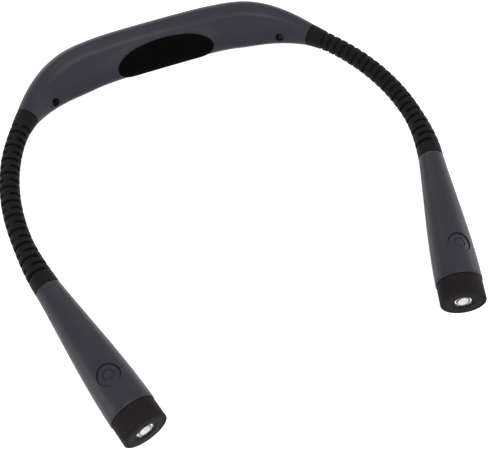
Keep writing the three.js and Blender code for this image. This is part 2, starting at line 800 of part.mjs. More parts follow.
// Heights above the head's axis: the switch stands under the button's foot, and its board under it.
function switchHeights() {
  const plungerTop = buttonFoot() - buttonTravel - fitGap;
  const high = plungerTop - switchPlungerHeight;
  const low = high - switchHeight;
  return { plungerTop, high, low, boardTop: low - fitGap, boardLow: low - fitGap - boardThickness };
}

function switchGeometry() {
  const { plungerTop, high, low } = switchHeights();
  const body = solid(block(switchSide, switchHeight, switchSide, 0, (low + high) / 2, buttonPlace));
  const plunger = rod(switchPlungerRadius, low, plungerTop, 16).rotateX(-Math.PI / 2);
  return unsolid(body.add(solid(plunger.translate(0, 0, buttonPlace))));
}

function switchBoardGeometry() {
  const { boardTop, boardLow } = switchHeights();
  const inside = shellRadius(buttonPlace - switchBoardLength / 2) - shellWall;
  const depth = Math.max(Math.abs(boardTop), Math.abs(boardLow));
  const width = 2 * (Math.sqrt(inside ** 2 - depth ** 2) - switchBoardSideGap);
  return block(width, boardThickness, switchBoardLength, 0, (boardTop + boardLow) / 2, buttonPlace);
}

function buildHead(arm, link) {
  const end = armAt(arm, armLength);
  const frame = new THREE.Matrix4().makeBasis(new THREE.Vector3().crossVectors(up, end.along), up, end.along);
  frame.setPosition(end.point);
  frame.multiply(new THREE.Matrix4().makeRotationZ(THREE.MathUtils.degToRad(-arm.headTurn)));
  const add = (name, geometry, material) =>
    addMesh(arm.name + "_" + name, geometry.applyMatrix4(frame), material, link);
  const { upper, lower } = headShells();
  const { boardFront, boardBack } = lampPlaces();
  add("head_upper_shell", unsolid(upper), shellGrey);
  add("head_lower_shell", unsolid(lower), shellGrey);
  add("end_cap", capGeometry(), capBlack);
  add("lens", lensGeometry(), lensClear);
  add("reflector", reflectorGeometry(), mirrorSilver);
  const ledPlace = boardFront + fitGap + ledHeight / 2;
  add("led_chip", block(ledSide, ledSide, ledHeight, 0, 0, ledPlace), ledWhite);
  add("led_board", rod(boreRadius() - fitGap, boardBack, boardFront, headSides), boardGreen);
  add("switch_board", switchBoardGeometry(), boardGreen);
  add("switch", switchGeometry(), switchBlack);
  const press = new THREE.Group();
  link.add(press);
  addMesh(arm.name + "_button", buttonGeometry().applyMatrix4(frame), shellGrey, press);
}

// Moves the light so that the middle of its box's underside is the origin.
function centred(group) {
  group.updateMatrixWorld(true);
  const box = new THREE.Box3().setFromObject(group, true);
  const middle = box.getCenter(new THREE.Vector3());
  group.position.set(-middle.x, -middle.y, -box.min.z);
  const root = new THREE.Group();
  root.add(group);
  return root;
}

buildBand();
for (const arm of arms) buildArm(arm);

export default centred(light);
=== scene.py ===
# Looks of a neck reading light: a collar band with an oval pad, two bendable arms in slotted
# rubber sleeves, and a tapered lamp head with a button on the end of each arm.
# Design sizes are in millimetres, in a design frame whose origin is midway between the band's
# ends, with +Y towards the band and -Y towards the heads. placed() turns them into metres.
import bisect
import functools
import json
from math import asin, atan2, copysign, cos, dist, hypot, pi, radians, sin, sqrt, tan

import bmesh
import bpy
from mathutils import Matrix, Vector


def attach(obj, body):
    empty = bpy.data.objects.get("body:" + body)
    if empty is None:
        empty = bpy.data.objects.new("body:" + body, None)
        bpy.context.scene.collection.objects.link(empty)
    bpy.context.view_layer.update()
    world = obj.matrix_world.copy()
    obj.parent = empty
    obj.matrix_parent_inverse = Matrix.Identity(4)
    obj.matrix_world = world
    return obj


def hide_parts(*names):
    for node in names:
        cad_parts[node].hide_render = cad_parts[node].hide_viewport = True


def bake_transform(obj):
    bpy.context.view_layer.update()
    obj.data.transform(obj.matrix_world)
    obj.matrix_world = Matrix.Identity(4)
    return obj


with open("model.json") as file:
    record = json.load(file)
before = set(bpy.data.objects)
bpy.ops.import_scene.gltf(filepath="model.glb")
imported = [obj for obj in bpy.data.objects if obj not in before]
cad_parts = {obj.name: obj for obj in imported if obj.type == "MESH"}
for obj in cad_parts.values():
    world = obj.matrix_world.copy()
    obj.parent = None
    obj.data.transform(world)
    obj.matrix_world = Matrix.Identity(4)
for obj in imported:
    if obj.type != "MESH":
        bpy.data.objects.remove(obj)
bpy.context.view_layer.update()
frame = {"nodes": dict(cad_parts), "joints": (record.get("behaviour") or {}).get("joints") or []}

MM = 0.001
UP = Vector((0, 0, 1))

# Clearance between pieces that seat on each other
FIT_GAP = 0.3

# Collar band
BAND_HALF_SPAN = 91.8
BAND_BOW = 24.5
BAND_SHOULDER = 35.9
BAND_SHOULDER_TRIM = 1.1
BAND_RAISE = 5.1
BAND_RAISE_TRIM = 6.1
BAND_HALF_WIDTH = 14.5
BAND_HALF_THICKNESS = 8.5
BAND_END_RADIUS = 6.75
BAND_WALL = 1.6
BAND_SEAM_DROP = 3.2
BAND_TAPER_SHARE = 0.443
BAND_END_FLARE = 1.57
BAND_CORNER_POWER = 3.0
FACE_TILT = radians(52.1)
FACE_TILT_GAIN = radians(5.1)
BAND_STATIONS = 200
BAND_ARC_STEPS = 56
LIP_ROUND = 0.25
LIP_MIDDLE = 0.29  # the middle of a rounded lip is set in by this share of its radius
RIDGE_START_SHARE = 0.36  # of the half width: the face ends here in a soft ridge,
RIDGE_END_SHARE = 0.64  # which has turned over here
BEVEL_END_SHARE = 0.86  # into a bevel that runs up to here
BEVEL_BLEND = 0.07
RIDGE_TAPER_SHARE = 0.3
DISH_DEPTH = 0.8  # below the ridge the face falls away towards this depth,
DISH_END_SHARE = 0.95  # which would be reached here, on the far side of the middle,
DISH_RISE_SHARE = 0.6  # but from this share of the way on it rises again
DISH_CLEAR_SHARE = 1.4  # the hollow fades out from this share of the pad's reach to its rim

# Oval neck pad
PAD_HALF_LENGTH = 31.2
PAD_HALF_HEIGHT = 12.4
PAD_CENTRE_OFFSET = 8.8
PAD_PROUD = 0.6
PAD_SINK = 0.5
PAD_EDGE = 0.7
PAD_RECESS = 1.2
PAD_RECESS_RIM = (0.9, 0.97)  # shares of the pad's reach between which the recess ends
PAD_ANGLES = (pi / 6, 1.35 * pi)  # of the section, round the pad and the hollow
PAD_MIDDLE_SHARE = 0.02
PAD_SIDES = 160
PAD_TOP_RINGS = 22
PAD_FOOT_RINGS = 12
SKIN_STEPS = 180
SKIN_STEP = radians(0.75)
ARC_STEP = radians(2)

# Screws of the band
SCREW_FROM_END = 13.4
SCREW_OFFSET = 6.0
SCREW_HEAD_RADIUS = 2.3
SCREW_HEAD_HEIGHT = 1.5
SCREW_SHANK_RADIUS = 1.2
SCREW_LENGTH = 6.4
SCREW_FLOOR_DROP = 0.6
SCREW_TIP = 0.6
SCREW_TIP_SHARE = 0.6
SCREW_NECK = 0.2
SCREW_THREADS = 7
THREAD = ((1, 0.4), (0.8, 0.7), (1, 1))  # shares of the shank's radius and of the pitch
SCREW_CROWN = ((1, 0.5), (0.86, 0.12), (0.6, 0))  # shares of the head's radius, drops from its top
CROSS_SHARE = 0.6
CROSS_HALF_WIDTH = 0.28
CROSS_DEPTH = 0.9
BOSS_WALL = 1.1
BOSS_SLACK = 0.02
SCREW_SIDES = 48
HOLE_SIDES = 64

# Charging socket
SOCKET_WIDTH = 8.9
SOCKET_HEIGHT = 3.2
SOCKET_INSET = 0.2
SOCKET_WALL = 0.3
SOCKET_BACK_WALL = 1.0
SOCKET_TONGUE_WIDTH = 6.6
SOCKET_TONGUE_HEIGHT = 0.7
SOCKET_TONGUE_REACH = 4.4
SOCKET_EDGE = 0.05
SOCKET_EDGE_LENGTH = 0.08
SOCKET_BACK_SHARES = (0.98, 0.96)
SOCKET_BACK_LENGTH = 0.1
CONTACT_COUNT = 12
CONTACT_PITCH = 0.5
CONTACT_HALF_WIDTH = 0.13
CONTACT_HALF_HEIGHT = 0.04
CONTACT_SETBACK = 0.3
CELL_CENTRE = 1.8
CELL_THICKNESS = 6.6

# Arms
SLOT_PITCH = 5.02
SLOT_ROWS = 22
SLOT_HALF_WIDTH = 1.05
SLOT_DEPTH = 1.6
SLOT_CORNER = 0.7
SLOT_LIP_DROP = 0.07
SLOT_LIP_REACH = 0.45
SLOT_WALL = (-0.22, 0.02)  # from the slot's outline, inwards and outwards
ROW_STEPS = (0, 0.5, 0.88, 0.98, 1.05, 1.13, 1.25, 1.4, 1.8)
CUFF_STEPS = (0, 0.08, 0.25, 0.6, 2.5, 4.5, 6.5)
CUFF_ROUND = 0.3
WEB_ANGLE = radians(30)
UPPER_CUFF = 10.8
LOWER_CUFF = 9.0
WAIST_RADIUS = 5.5
UPPER_FLARE_SHARE = 0.13
UPPER_FLARE_POWER = 1.5
LOWER_FLARE_SHARE = 0.7
CORE_RADIUS = 3.4
CORE_WIRE_PITCH = 2.2
CORE_WIRE_DEPTH = 0.35
CORE_WIRE_STEPS = 6
CORE_TAIL = 8.0
FIRST_SEAM_ROW = 1
SEAM_ROW_STEP = 4
SEAM_COUNT = 6
SEAM_LIP = 0.65
SLEEVE_SIDES = 96
CORE_SIDES = 24
BORE_STEPS = 8
SLEEVE_ANGLE = 50
ARM_STEPS = 60
ARM_LENGTH = UPPER_CUFF + (SLOT_ROWS - 1) * SLOT_PITCH + LOWER_CUFF
BEND_REACH = 6.6
ARMS = [
    {"name": "left", "mirror": -1, "bend": 53.5, "lean_share": 0.46,
     "slot_turn": 105, "slot_twist": -48, "head_turn": -1.5},
    {"name": "right", "mirror": 1, "bend": 57.6, "lean_share": -0.07,
     "slot_turn": 0, "slot_twist": 27, "head_turn": 8},
]

# Lamp heads
HEAD_BASE_RADIUS = 6.85
HEAD_RIM_RADIUS = 11.7
SHELL_LENGTH = 80.8
CAP_LENGTH = 11.15
CAP_RADIUS = 11.35
SHELL_WALL = 1.6
SHELL_EDGE = 0.3
SHELL_STATION_STEP = 1.5
SPLIT_LIP = 0.15
SPLIT_LIP_MIDDLE = 0.045
SPIGOT_LENGTH = 6.0
SPIGOT_WALL = 1.2
CAP_FACE_THICKNESS = 1.7
CAP_EDGE = 0.5
CAP_BACK_EDGE = 0.2
FACE_GROOVE_INSET = 1.2
FACE_GROOVE_WIDTH = 0.35
FACE_GROOVE_DEPTH = 0.3
FACE_GROOVE_EDGE = 0.08
LENS_RADIUS = 4.75
LENS_FLANGE = 1.6
LENS_THICKNESS = 0.8
LENS_RECESS = 0.3
LENS_DOME = 0.2
LENS_WALL = 0.3
LENS_WINDOW = 0.5
OPENING_CHAMFER = 0.9
OPENING_CHAMFER_DEPTH = 0.5
OPENING_OUTER_EDGE = 0.15
OPENING_INNER_EDGE = 0.1
REFLECTOR_LENGTH = 5.2
REFLECTOR_THROAT = 2.7
REFLECTOR_LIP = 0.5
LED_SIDE = 3.4
LED_BODY_HEIGHT = 0.63
LED_BEVEL = 0.18
FROST_HALF_WIDTH = 2.5
FROST_HALF_HEIGHT = 3.3
FROST_THICKNESS = 0.15
FROST_SIDES = 64
LENS_STEPS = 12
BOWL_STEPS = 24
HEAD_SIDES = 128
HEAD_ARC_STEPS = 72
AXIS_RADIUS = 0.02  # of the small face that closes a turned body on its axis
LENS_FRONT = SHELL_LENGTH + CAP_LENGTH - LENS_RECESS
LENS_HOLLOW = LENS_RADIUS - FIT_GAP - LENS_WALL
UNDER_WINDOW = LENS_FRONT - LENS_DOME - LENS_WINDOW
FLANGE_FRONT = SHELL_LENGTH + CAP_LENGTH - CAP_FACE_THICKNESS - FIT_GAP
FLANGE_BACK = FLANGE_FRONT - LENS_THICKNESS
REFLECTOR_FRONT = FLANGE_BACK - FIT_GAP
REFLECTOR_BACK = REFLECTOR_FRONT - REFLECTOR_LENGTH

# Buttons
BUTTON_FROM_RIM = 17.9
BUTTON_RADIUS = 5.6
BUTTON_RECESS = 0.65
BUTTON_GAP = 0.2
BUTTON_FLANGE = 0.9
BUTTON_FLANGE_HEIGHT = 0.8
BUTTON_FLANGE_SLACK = 0.75
BUTTON_EDGE = 0.25
BUTTON_SIDES = 160
BUTTON_RINGS = 48
MARK_RADIUS = 2.6
MARK_HALF_WIDTH = 0.3
MARK_DEPTH = 0.4
MARK_GAP = radians(30)
MARK_EDGE = (-0.08, 0.05)  # from the mark's outline, inwards and outwards
BAR_LOW = 0.5 * MARK_RADIUS
BAR_HIGH = 1.3 * MARK_RADIUS
BUTTON_PLACE = SHELL_LENGTH - BUTTON_FROM_RIM

# Camera, in the design frame
CAMERA_PLACE = Vector((-76.84, -332.80, 334.56))
CAMERA_FORWARD = Vector((0.18792, 0.52639, -0.82922))
CAMERA_UP = Vector((0.31437, 0.76761, 0.55852))
CAMERA_LENS = 55.874
SENSOR_WIDTH = 36.0

SMOOTH_ANGLE = 35
ROUND_STEPS = 5
WORLD_LIGHT = 0.31
FLOOR_GLOW = 0.9


def lerp(a, b, t):
    return a + (b - a) * t


def smooth(x, low, high):
    t = min(1.0, max(0.0, (x - low) / (high - low)))
    return t * t * (3 - 2 * t)


def axes_at(x, y, z, origin):
    matrix = Matrix((x, y, z)).transposed().to_4x4()
    matrix.translation = origin
    return matrix


def angles_round(count):
    return [2 * pi * i / count for i in range(count)]


def quarter(count):
    """Angles over a quarter turn, without its start."""
    return [pi / 2 * k / count for k in range(1, count + 1)]


# Band path and section

def band_point(u):
    y = BAND_BOW * (1 - u**2) + BAND_SHOULDER * (u**2 - u**4) - BAND_SHOULDER_TRIM * (u**4 - u**8)
    z = BAND_RAISE * (1 - u**2) - BAND_RAISE_TRIM * (u**2 - u**4)
    return Vector((BAND_HALF_SPAN * u, y, z))


def band_along(u):
    slope_y = (-2 * BAND_BOW * u + BAND_SHOULDER * (2 * u - 4 * u**3)
               - BAND_SHOULDER_TRIM * (4 * u**3 - 8 * u**7))
    slope_z = -2 * BAND_RAISE * u - BAND_RAISE_TRIM * (2 * u - 4 * u**3)
    return Vector((BAND_HALF_SPAN, slope_y, slope_z)).normalized()


class Section:
    """The band's cross-section at u: face points out of the wide face, edge to its upper edge."""

    def __init__(self, u):
        self.u = u
        self.centre = band_point(u)
        self.along = band_along(u)
        inward = self.along.cross(UP).normalized()
        rise = inward.cross(self.along)
        tilt = FACE_TILT + FACE_TILT_GAIN * u**2
        self.face = inward * sin(tilt) + rise * cos(tilt)
        self.edge = rise * sin(tilt) - inward * cos(tilt)
        taper = min(1.0, (1 - abs(u)) / BAND_TAPER_SHARE)
        fill = smooth(taper, 0, 1) + BAND_END_FLARE * taper * (1 - taper) ** 2
        self.half_width = lerp(BAND_END_RADIUS, BAND_HALF_WIDTH, fill)
        self.half_thickness = lerp(BAND_END_RADIUS, BAND_HALF_THICKNESS, fill)
        self.power = lerp(2.0, BAND_CORNER_POWER, fill)
        self.ridge = smooth(taper, 0, RIDGE_TAPER_SHARE)

    def offsets(self, angle, inset=0.0):
        def bulge(value):
            return copysign(abs(value) ** (2 / self.power), value)

        return ((self.half_width - inset) * bulge(cos(angle)),
                (self.half_thickness - inset) * bulge(sin(angle)))

    def ridge_offsets(self, angle, dish):
        """The skin with its hollowed face, soft ridge and bevel towards the upper edge."""
        width, height = self.offsets(angle)
        share = width / self.half_width
        if height <= 0:
            return width, height
        if share < RIDGE_START_SHARE:
            down = (RIDGE_START_SHARE - share) / (RIDGE_START_SHARE + DISH_END_SHARE)
            if down < 1:
                fall = 1 - (1 - down) ** 2
                height -= dish * self.ridge * fall * (1 - smooth(down, DISH_RISE_SHARE, 1))
            return width, height

        def turned_over(at):
            t = min(1.0, (at - RIDGE_START_SHARE) / (RIDGE_END_SHARE - RIDGE_START_SHARE))
            beyond = max(0.0, at - RIDGE_END_SHARE)
            return (RIDGE_END_SHARE - RIDGE_START_SHARE) * (t**3 - t**4 / 2) + beyond

        end_drop = self.half_thickness - self.height_at(BEVEL_END_SHARE * self.half_width)
        bevelled = self.half_thickness - end_drop * turned_over(share) / turned_over(BEVEL_END_SHARE)
        fade = smooth(share, BEVEL_END_SHARE - BEVEL_BLEND, BEVEL_END_SHARE + BEVEL_BLEND)
        return width, lerp(height, bevelled, self.ridge * (1 - fade))

    def place(self, width, height):
        return self.centre + self.edge * width + self.face * height

    def at_depth(self, depth, inset, side):
        share = min(1.0, depth / (self.half_thickness - inset))
        width = (self.half_width - inset) * (1 - share**self.power) ** (1 / self.power)
        return self.place(side * width, -depth)

    def seam_angle(self, depth, inset):
        return asin((depth / (self.half_thickness - inset)) ** (self.power / 2))

    def height_at(self, width):
        share = min(1.0, abs(width) / self.half_width)
        return self.half_thickness * (1 - share**self.power) ** (1 / self.power)

    def basis(self, width=0.0):
        return axes_at(self.along, self.edge, self.face, self.place(width, 0))


# Where the design frame lies in the model: the first hinge of the left arm is in both.

def arm_heading(arm, s):
    start = band_along(1)
    u = s / ARM_LENGTH
    turned_by = radians(arm["bend"]) * (u + arm["lean_share"] * u * (1 - u))
    return atan2(start.x, -start.y) - turned_by


def arm_at(arm, s):
    """Place and directions of the arm's centreline at s; past its ends it runs straight on."""
    inside = min(ARM_LENGTH, max(0.0, s))
    point = Vector((arm["mirror"] * BAND_HALF_SPAN, 0, 0))
    for i in range(ARM_STEPS):
        heading = arm_heading(arm, inside * (i + 0.5) / ARM_STEPS)
        point.x += arm["mirror"] * sin(heading) * inside / ARM_STEPS
        point.y -= cos(heading) * inside / ARM_STEPS
    heading = arm_heading(arm, inside)
    along = Vector((arm["mirror"] * sin(heading), -cos(heading), 0))
    turn = radians(arm["slot_turn"] + arm["slot_twist"] * inside / ARM_LENGTH)
    return {"point": point + along * (s - inside), "along": along, "side": along.cross(UP), "turn": turn}


def sleeve_radius(s):
    u = min(1.0, max(0.0, s / ARM_LENGTH))
    upper = (BAND_END_RADIUS - WAIST_RADIUS) * max(0.0, 1 - u / UPPER_FLARE_SHARE) ** UPPER_FLARE_POWER
    lower = (HEAD_BASE_RADIUS - WAIST_RADIUS) * smooth(u, LOWER_FLARE_SHARE, 1)
    return WAIST_RADIUS + upper + lower


def row_place(row):
    return UPPER_CUFF + row * SLOT_PITCH


def hinge_place(number):
    start = row_place(FIRST_SEAM_ROW + (number - 1) * SEAM_ROW_STEP)
    radius = sleeve_radius(start)
    return start + sqrt((radius + SEAM_LIP + FIT_GAP / 2) ** 2 - radius**2)


FIRST_HINGE = next(j for j in frame["joints"] if j["name"] == "left_bend_1")
SHIFT = Vector(FIRST_HINGE["pos_m"]) - arm_at(ARMS[0], hinge_place(1))["point"] * MM


def placed(point):
    return Vector(point) * MM + SHIFT


# Mesh making

def linked(name, data):
    thing = bpy.data.objects.new(name, data)
    bpy.context.scene.collection.objects.link(thing)
    return thing


def shade(mesh, angle=SMOOTH_ANGLE):
    mesh.shade_smooth()
    mesh.set_sharp_from_angle(angle=radians(angle))


def rework(mesh, change, angle=SMOOTH_ANGLE):
    """Makes a change to a mesh's editable copy, puts the result back and shades it."""
    work = bmesh.new()
    work.from_mesh(mesh)
    change(work)
    work.to_mesh(mesh)
    work.free()
    shade(mesh, angle)


def new_object(name, points, faces, material, angle=SMOOTH_ANGLE):
    mesh = bpy.data.meshes.new(name)
    mesh.from_pydata([placed(p) for p in points], [], faces)
    rework(mesh, lambda work: bmesh.ops.recalc_face_normals(work, faces=work.faces), angle)
    mesh.materials.append(material)
    return linked(name, mesh)


def loft(rings, loop=False):
    """Points and faces through rings of equal counts; a loop joins the last to the first."""
    count = len(rings[0])
    points = [p for ring in rings for p in ring]
    faces = []
    bands = len(rings) if loop else len(rings) - 1
    for r in range(bands):
        low, high = r * count, ((r + 1) % len(rings)) * count
        for i in range(count):
            j = (i + 1) % count
            faces.append((low + i, low + j, high + j, high + i))
    if not loop:
        last = (len(rings) - 1) * count
        faces.append(tuple(range(count)))
        faces.append(tuple(last + i for i in range(count)))
    return points, faces


def turned(profile, matrix, sides=HEAD_SIDES, loop=True):
    """A body turned round a matrix's Z from [radius, height] points."""
    rings = []
    for radius, z in profile:
        rings.append([matrix @ Vector((radius * cos(angle), radius * sin(angle), z))
                      for angle in angles_round(sides)])
    return loft(rings, loop)


def block(half_x, half_y, low, high, matrix):
    corners = ((-1, -1), (1, -1), (1, 1), (-1, 1))
    return loft([[matrix @ Vector((x * half_x, y * half_y, z)) for x, y in corners] for z in (low, high)])


def rounded(profile, corners, steps=4):
    """The profile with corners, given as {index: radius}, replaced by arcs."""
    for index, radius in sorted(corners.items(), reverse=True):
        before, corner, after = (Vector(profile[k]) for k in (index - 1, index, index + 1))
        back = (before - corner).normalized()
        on = (after - corner).normalized()
        half = back.angle(on) / 2
        start, end = (corner + side * (radius / tan(half)) for side in (back, on))
        centre = corner + (back + on).normalized() * (radius / sin(half))
        arc = []
        for k in range(steps + 1):
            spoke = (start - centre).lerp(end - centre, k / steps).normalized() * radius
            arc.append(tuple(centre + spoke))
        profile = profile[:index] + arc + profile[index + 1:]
    return profile


def subtract(piece, points, faces):
    """Cuts a closed body out of a piece."""
    cutter = new_object("cutter", points, faces, piece.data.materials[0])
    cut = piece.modifiers.new("cut", "BOOLEAN")
    cut.operation = "DIFFERENCE"
    cut.solver = "EXACT"
    cut.object = cutter
    bpy.context.view_layer.objects.active = piece
    bpy.ops.object.modifier_apply(modifier=cut.name)
    bpy.data.objects.remove(cutter)
    shade(piece.data)


def absorb(piece, other):
    """Adds another piece's mesh to the first and removes the other."""
    rework(piece.data, lambda work: work.from_mesh(other.data))
    bpy.data.objects.remove(other)


def bevel_edges(work):
    bmesh.ops.bevel(work, geom=work.edges[:], offset=LED_BEVEL * MM, segments=2, affect="EDGES")


def hand_over(piece, body, slot, *nodes):
    """Says which body carries a piece and the solids that it stands for, which it hides; its material
    slot is not used.
    """
    if nodes:
        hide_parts(*nodes)
    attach(piece, body)


# Materials

class Shader:
    """A Principled material with the few nodes that every finish here uses."""

    def __init__(self, name, color, roughness, metallic=0.0, specular=0.5):
        self.material = bpy.data.materials.new(name)
        self.material.use_nodes = True
        self.nodes = self.material.node_tree.nodes
        self.link = self.material.node_tree.links.new
        self.base = self.nodes["Principled BSDF"]
        self.base.inputs["Base Color"].default_value = (*color, 1)
        self.base.inputs["Roughness"].default_value = roughness
        self.base.inputs["Metallic"].default_value = metallic
        self.base.inputs["Specular IOR Level"].default_value = specular
        self.position = self.node("TexCoord").outputs["Object"]

    def node(self, kind, **values):
        """A new node, with values for its inputs; an underscore in a name stands for a space."""
        node = self.nodes.new("ShaderNode" + kind)
        for name, value in values.items():
            node.inputs[name.replace("_", " ")].default_value = value
        return node

    def noise(self, size_mm, detail=3.0, roughness=0.55):
        noise = self.node("TexNoise", Scale=1 / (size_mm * MM), Detail=detail, Roughness=roughness)
        self.link(self.position, noise.inputs["Vector"])
        return noise.outputs["Fac"]

    def spread(self, factor, low, high, start=0.3, end=0.7):
        """Maps a factor from start..end to low..high."""
        node = self.node("MapRange", From_Min=start, From_Max=end, To_Min=low, To_Max=high)
        self.link(factor, node.inputs["Value"])
        return node.outputs["Result"]

    def mix(self, factor, dark, light):
        node = self.node("Mix")
        node.data_type = "RGBA"
        self.link(factor, node.inputs["Factor"])
        for socket, color in (("A", dark), ("B", light)):
            sockets = [i for i in node.inputs if i.name == socket and i.type == "RGBA"]
            sockets[0].default_value = (*color, 1)
        self.link([o for o in node.outputs if o.type == "RGBA"][0], self.base.inputs["Base Color"])

    def vary_roughness(self, factor, low, high):
        self.link(self.spread(factor, low, high), self.base.inputs["Roughness"])

    def bump(self, factor, depth_mm):
        node = self.node("Bump", Strength=1.0, Distance=depth_mm * MM)
        self.link(factor, node.inputs["Height"])
        previous = self.base.inputs["Normal"].links
        if previous:
            self.link(previous[0].from_socket, node.inputs["Normal"])
        self.link(node.outputs["Normal"], self.base.inputs["Normal"])


def tinted(color, factor):
    return tuple(channel * factor for channel in color)


def moulded_plastic(name, color, roughness, specular, grain_mm, grain_depth):
    """Plastic with a fine spark-eroded grain, slow tone changes and faint handling marks."""
    shader = Shader(name, color, roughness, specular=specular)
    tone = shader.noise(14, detail=4)
    shader.mix(shader.spread(tone, 0, 1), tinted(color, 0.93), tinted(color, 1.07))
    shader.vary_roughness(shader.noise(6, detail=5, roughness=0.7), roughness - 0.05, roughness + 0.06)
    shader.bump(shader.noise(grain_mm, detail=2), grain_depth)
    return shader.material


def rubber(name, color, roughness, specular):
    """Moulded rubber: matte, with a dusting of paler specks and a soft uneven skin."""
    shader = Shader(name, color, roughness, specular=specular)
    specks = shader.noise(0.9, detail=6, roughness=0.75)
    shader.mix(shader.spread(specks, 0, 1, 0.5, 0.8), color, tinted(color, 1.7))
    shader.vary_roughness(shader.noise(3, detail=4), roughness - 0.06, roughness + 0.08)
    shader.bump(shader.noise(0.35, detail=3), 0.02)
    shader.bump(shader.noise(4, detail=2), 0.05)
    return shader.material


def metal(name, color, roughness):
    """Metal with a fine mottle in its tone and gloss."""
    shader = Shader(name, color, roughness, metallic=1.0)
    mottle = shader.noise(0.8, detail=4)
    shader.mix(shader.spread(mottle, 0, 1), tinted(color, 0.85), tinted(color, 1.05))
    shader.vary_roughness(mottle, roughness * 0.75, roughness * 1.3)
    shader.bump(mottle, 0.004)
    return shader.material


def clear_plastic(name):
    shader = Shader(name, (0.97, 0.98, 0.98), 0.03, specular=0.1)
    shader.base.inputs["Transmission Weight"].default_value = 1.0
    shader.base.inputs["IOR"].default_value = 1.2
    shader.vary_roughness(shader.noise(2), 0.02, 0.06)
    return shader.material


def circuit_board(name):
    """Green solder mask over faint copper tracks."""
    green = (0.012, 0.07, 0.03)
    track_mm = 6
    shader = Shader(name, green, 0.35)
    tracks = shader.node("TexBrick", Scale=1 / (track_mm * MM), Mortar_Size=0.03)
    shader.link(shader.position, tracks.inputs["Vector"])
    shader.mix(tracks.outputs["Fac"], green, tinted(green, 2.2))
    shader.bump(tracks.outputs["Fac"], 0.03)
    return shader.material


def foil(name):
    shader = Shader(name, (0.62, 0.63, 0.65), 0.35, metallic=1.0)
    shader.vary_roughness(shader.noise(2.5, detail=5), 0.28, 0.5)
    shader.bump(shader.noise(5, detail=6, roughness=0.7), 0.2)
    return shader.material


def white_grain(name, white, roughness, tone_mm, dark, light, grain_mm):
    """A white skin with a fine grain: the chip's ceramic, and the lens's frosted middle."""
    shader = Shader(name, white, roughness)
    tone = shader.spread(shader.noise(tone_mm), 0, 1)
    shader.mix(tone, tinted(white, dark), tinted(white, light))
    shader.bump(shader.noise(grain_mm), 0.01)
    return shader.material


SHELL = moulded_plastic("slate_soft_touch", (0.0280, 0.0264, 0.0356), 0.4, 0.2, 0.22, 0.01)
CAP = moulded_plastic("black_moulded_plastic", (0.0205, 0.0174, 0.0186), 0.5, 0.02, 0.2, 0.01)
SLEEVE = rubber("black_sleeve_rubber", (0.0054, 0.0050, 0.0054), 0.6, 0.1)
PAD = rubber("black_pad_rubber", (0.0018, 0.0018, 0.0018), 0.8, 0.03)
STEEL = metal("dark_screw_steel", (0.035, 0.035, 0.038), 0.5)
WIRE = metal("bare_gooseneck_steel", (0.22, 0.22, 0.23), 0.45)
SOCKET_STEEL = metal("formed_socket_steel", (0.5, 0.5, 0.52), 0.25)
MIRROR = metal("metallised_reflector", (0.92, 0.92, 0.93), 0.09)
# The bowl's near-black metal is a painted dark reflection, standing in for the dark surroundings that the
# bright reflector shows there.
PAINTED_DARK_REFLECTION = metal("reflector_bowl_painted_dark_reflection", (0.03, 0.03, 0.035), 0.3)
LENS = clear_plastic("clear_lens")
BOARD = circuit_board("solder_mask")
FOIL = foil("cell_foil")
LED = white_grain("led_ceramic", (0.82, 0.83, 0.8), 0.45, 0.5, 0.95, 1, 0.2)
FROST = white_grain("lens_frosting", (0.84, 0.82, 0.81), 0.4, 0.3, 0.92, 1.05, 0.15)
SWITCH = moulded_plastic("switch_black", (0.006, 0.006, 0.006), 0.4, 0.4, 0.3, 0.01)


# Collar band

def arcs_to(section, angles):
    """Arcs along the skin from the lower edge, at the angle pi, over each of the angles in turn."""
    arcs = []
    arc, before = 0.0, section.offsets(pi)
    for angle in angles:
        here = section.offsets(angle)
        arc += dist(here, before)
        arcs.append(arc)
        before = here
    return arcs


def pad_centre_arc():
    section = Section(0)
    angles = [pi - radians(degrees) for degrees in range(1, 91)]
    return arcs_to(section, [a for a in angles if section.offsets(a)[0] <= -PAD_CENTRE_OFFSET])[-1]


PAD_CENTRE = pad_centre_arc()


def arc_of_angle(section, angle):
    sign = 1 if angle <= pi else -1
    span = abs(pi - angle)
    steps = max(2, round(span / ARC_STEP))
    return sign * arcs_to(section, [pi - sign * span * i / steps for i in range(1, steps + 1)])[-1]


def pad_reach(section, angle):
    """Distance from the pad's middle over the skin, as a share of the pad's own reach there."""
    x = BAND_HALF_SPAN * section.u
    if abs(x) > PAD_HALF_LENGTH * DISH_CLEAR_SHARE or not PAD_ANGLES[0] < angle < PAD_ANGLES[1]:
        return DISH_CLEAR_SHARE
    up = arc_of_angle(section, angle) - PAD_CENTRE
    return hypot(x / PAD_HALF_LENGTH, up / PAD_HALF_HEIGHT)


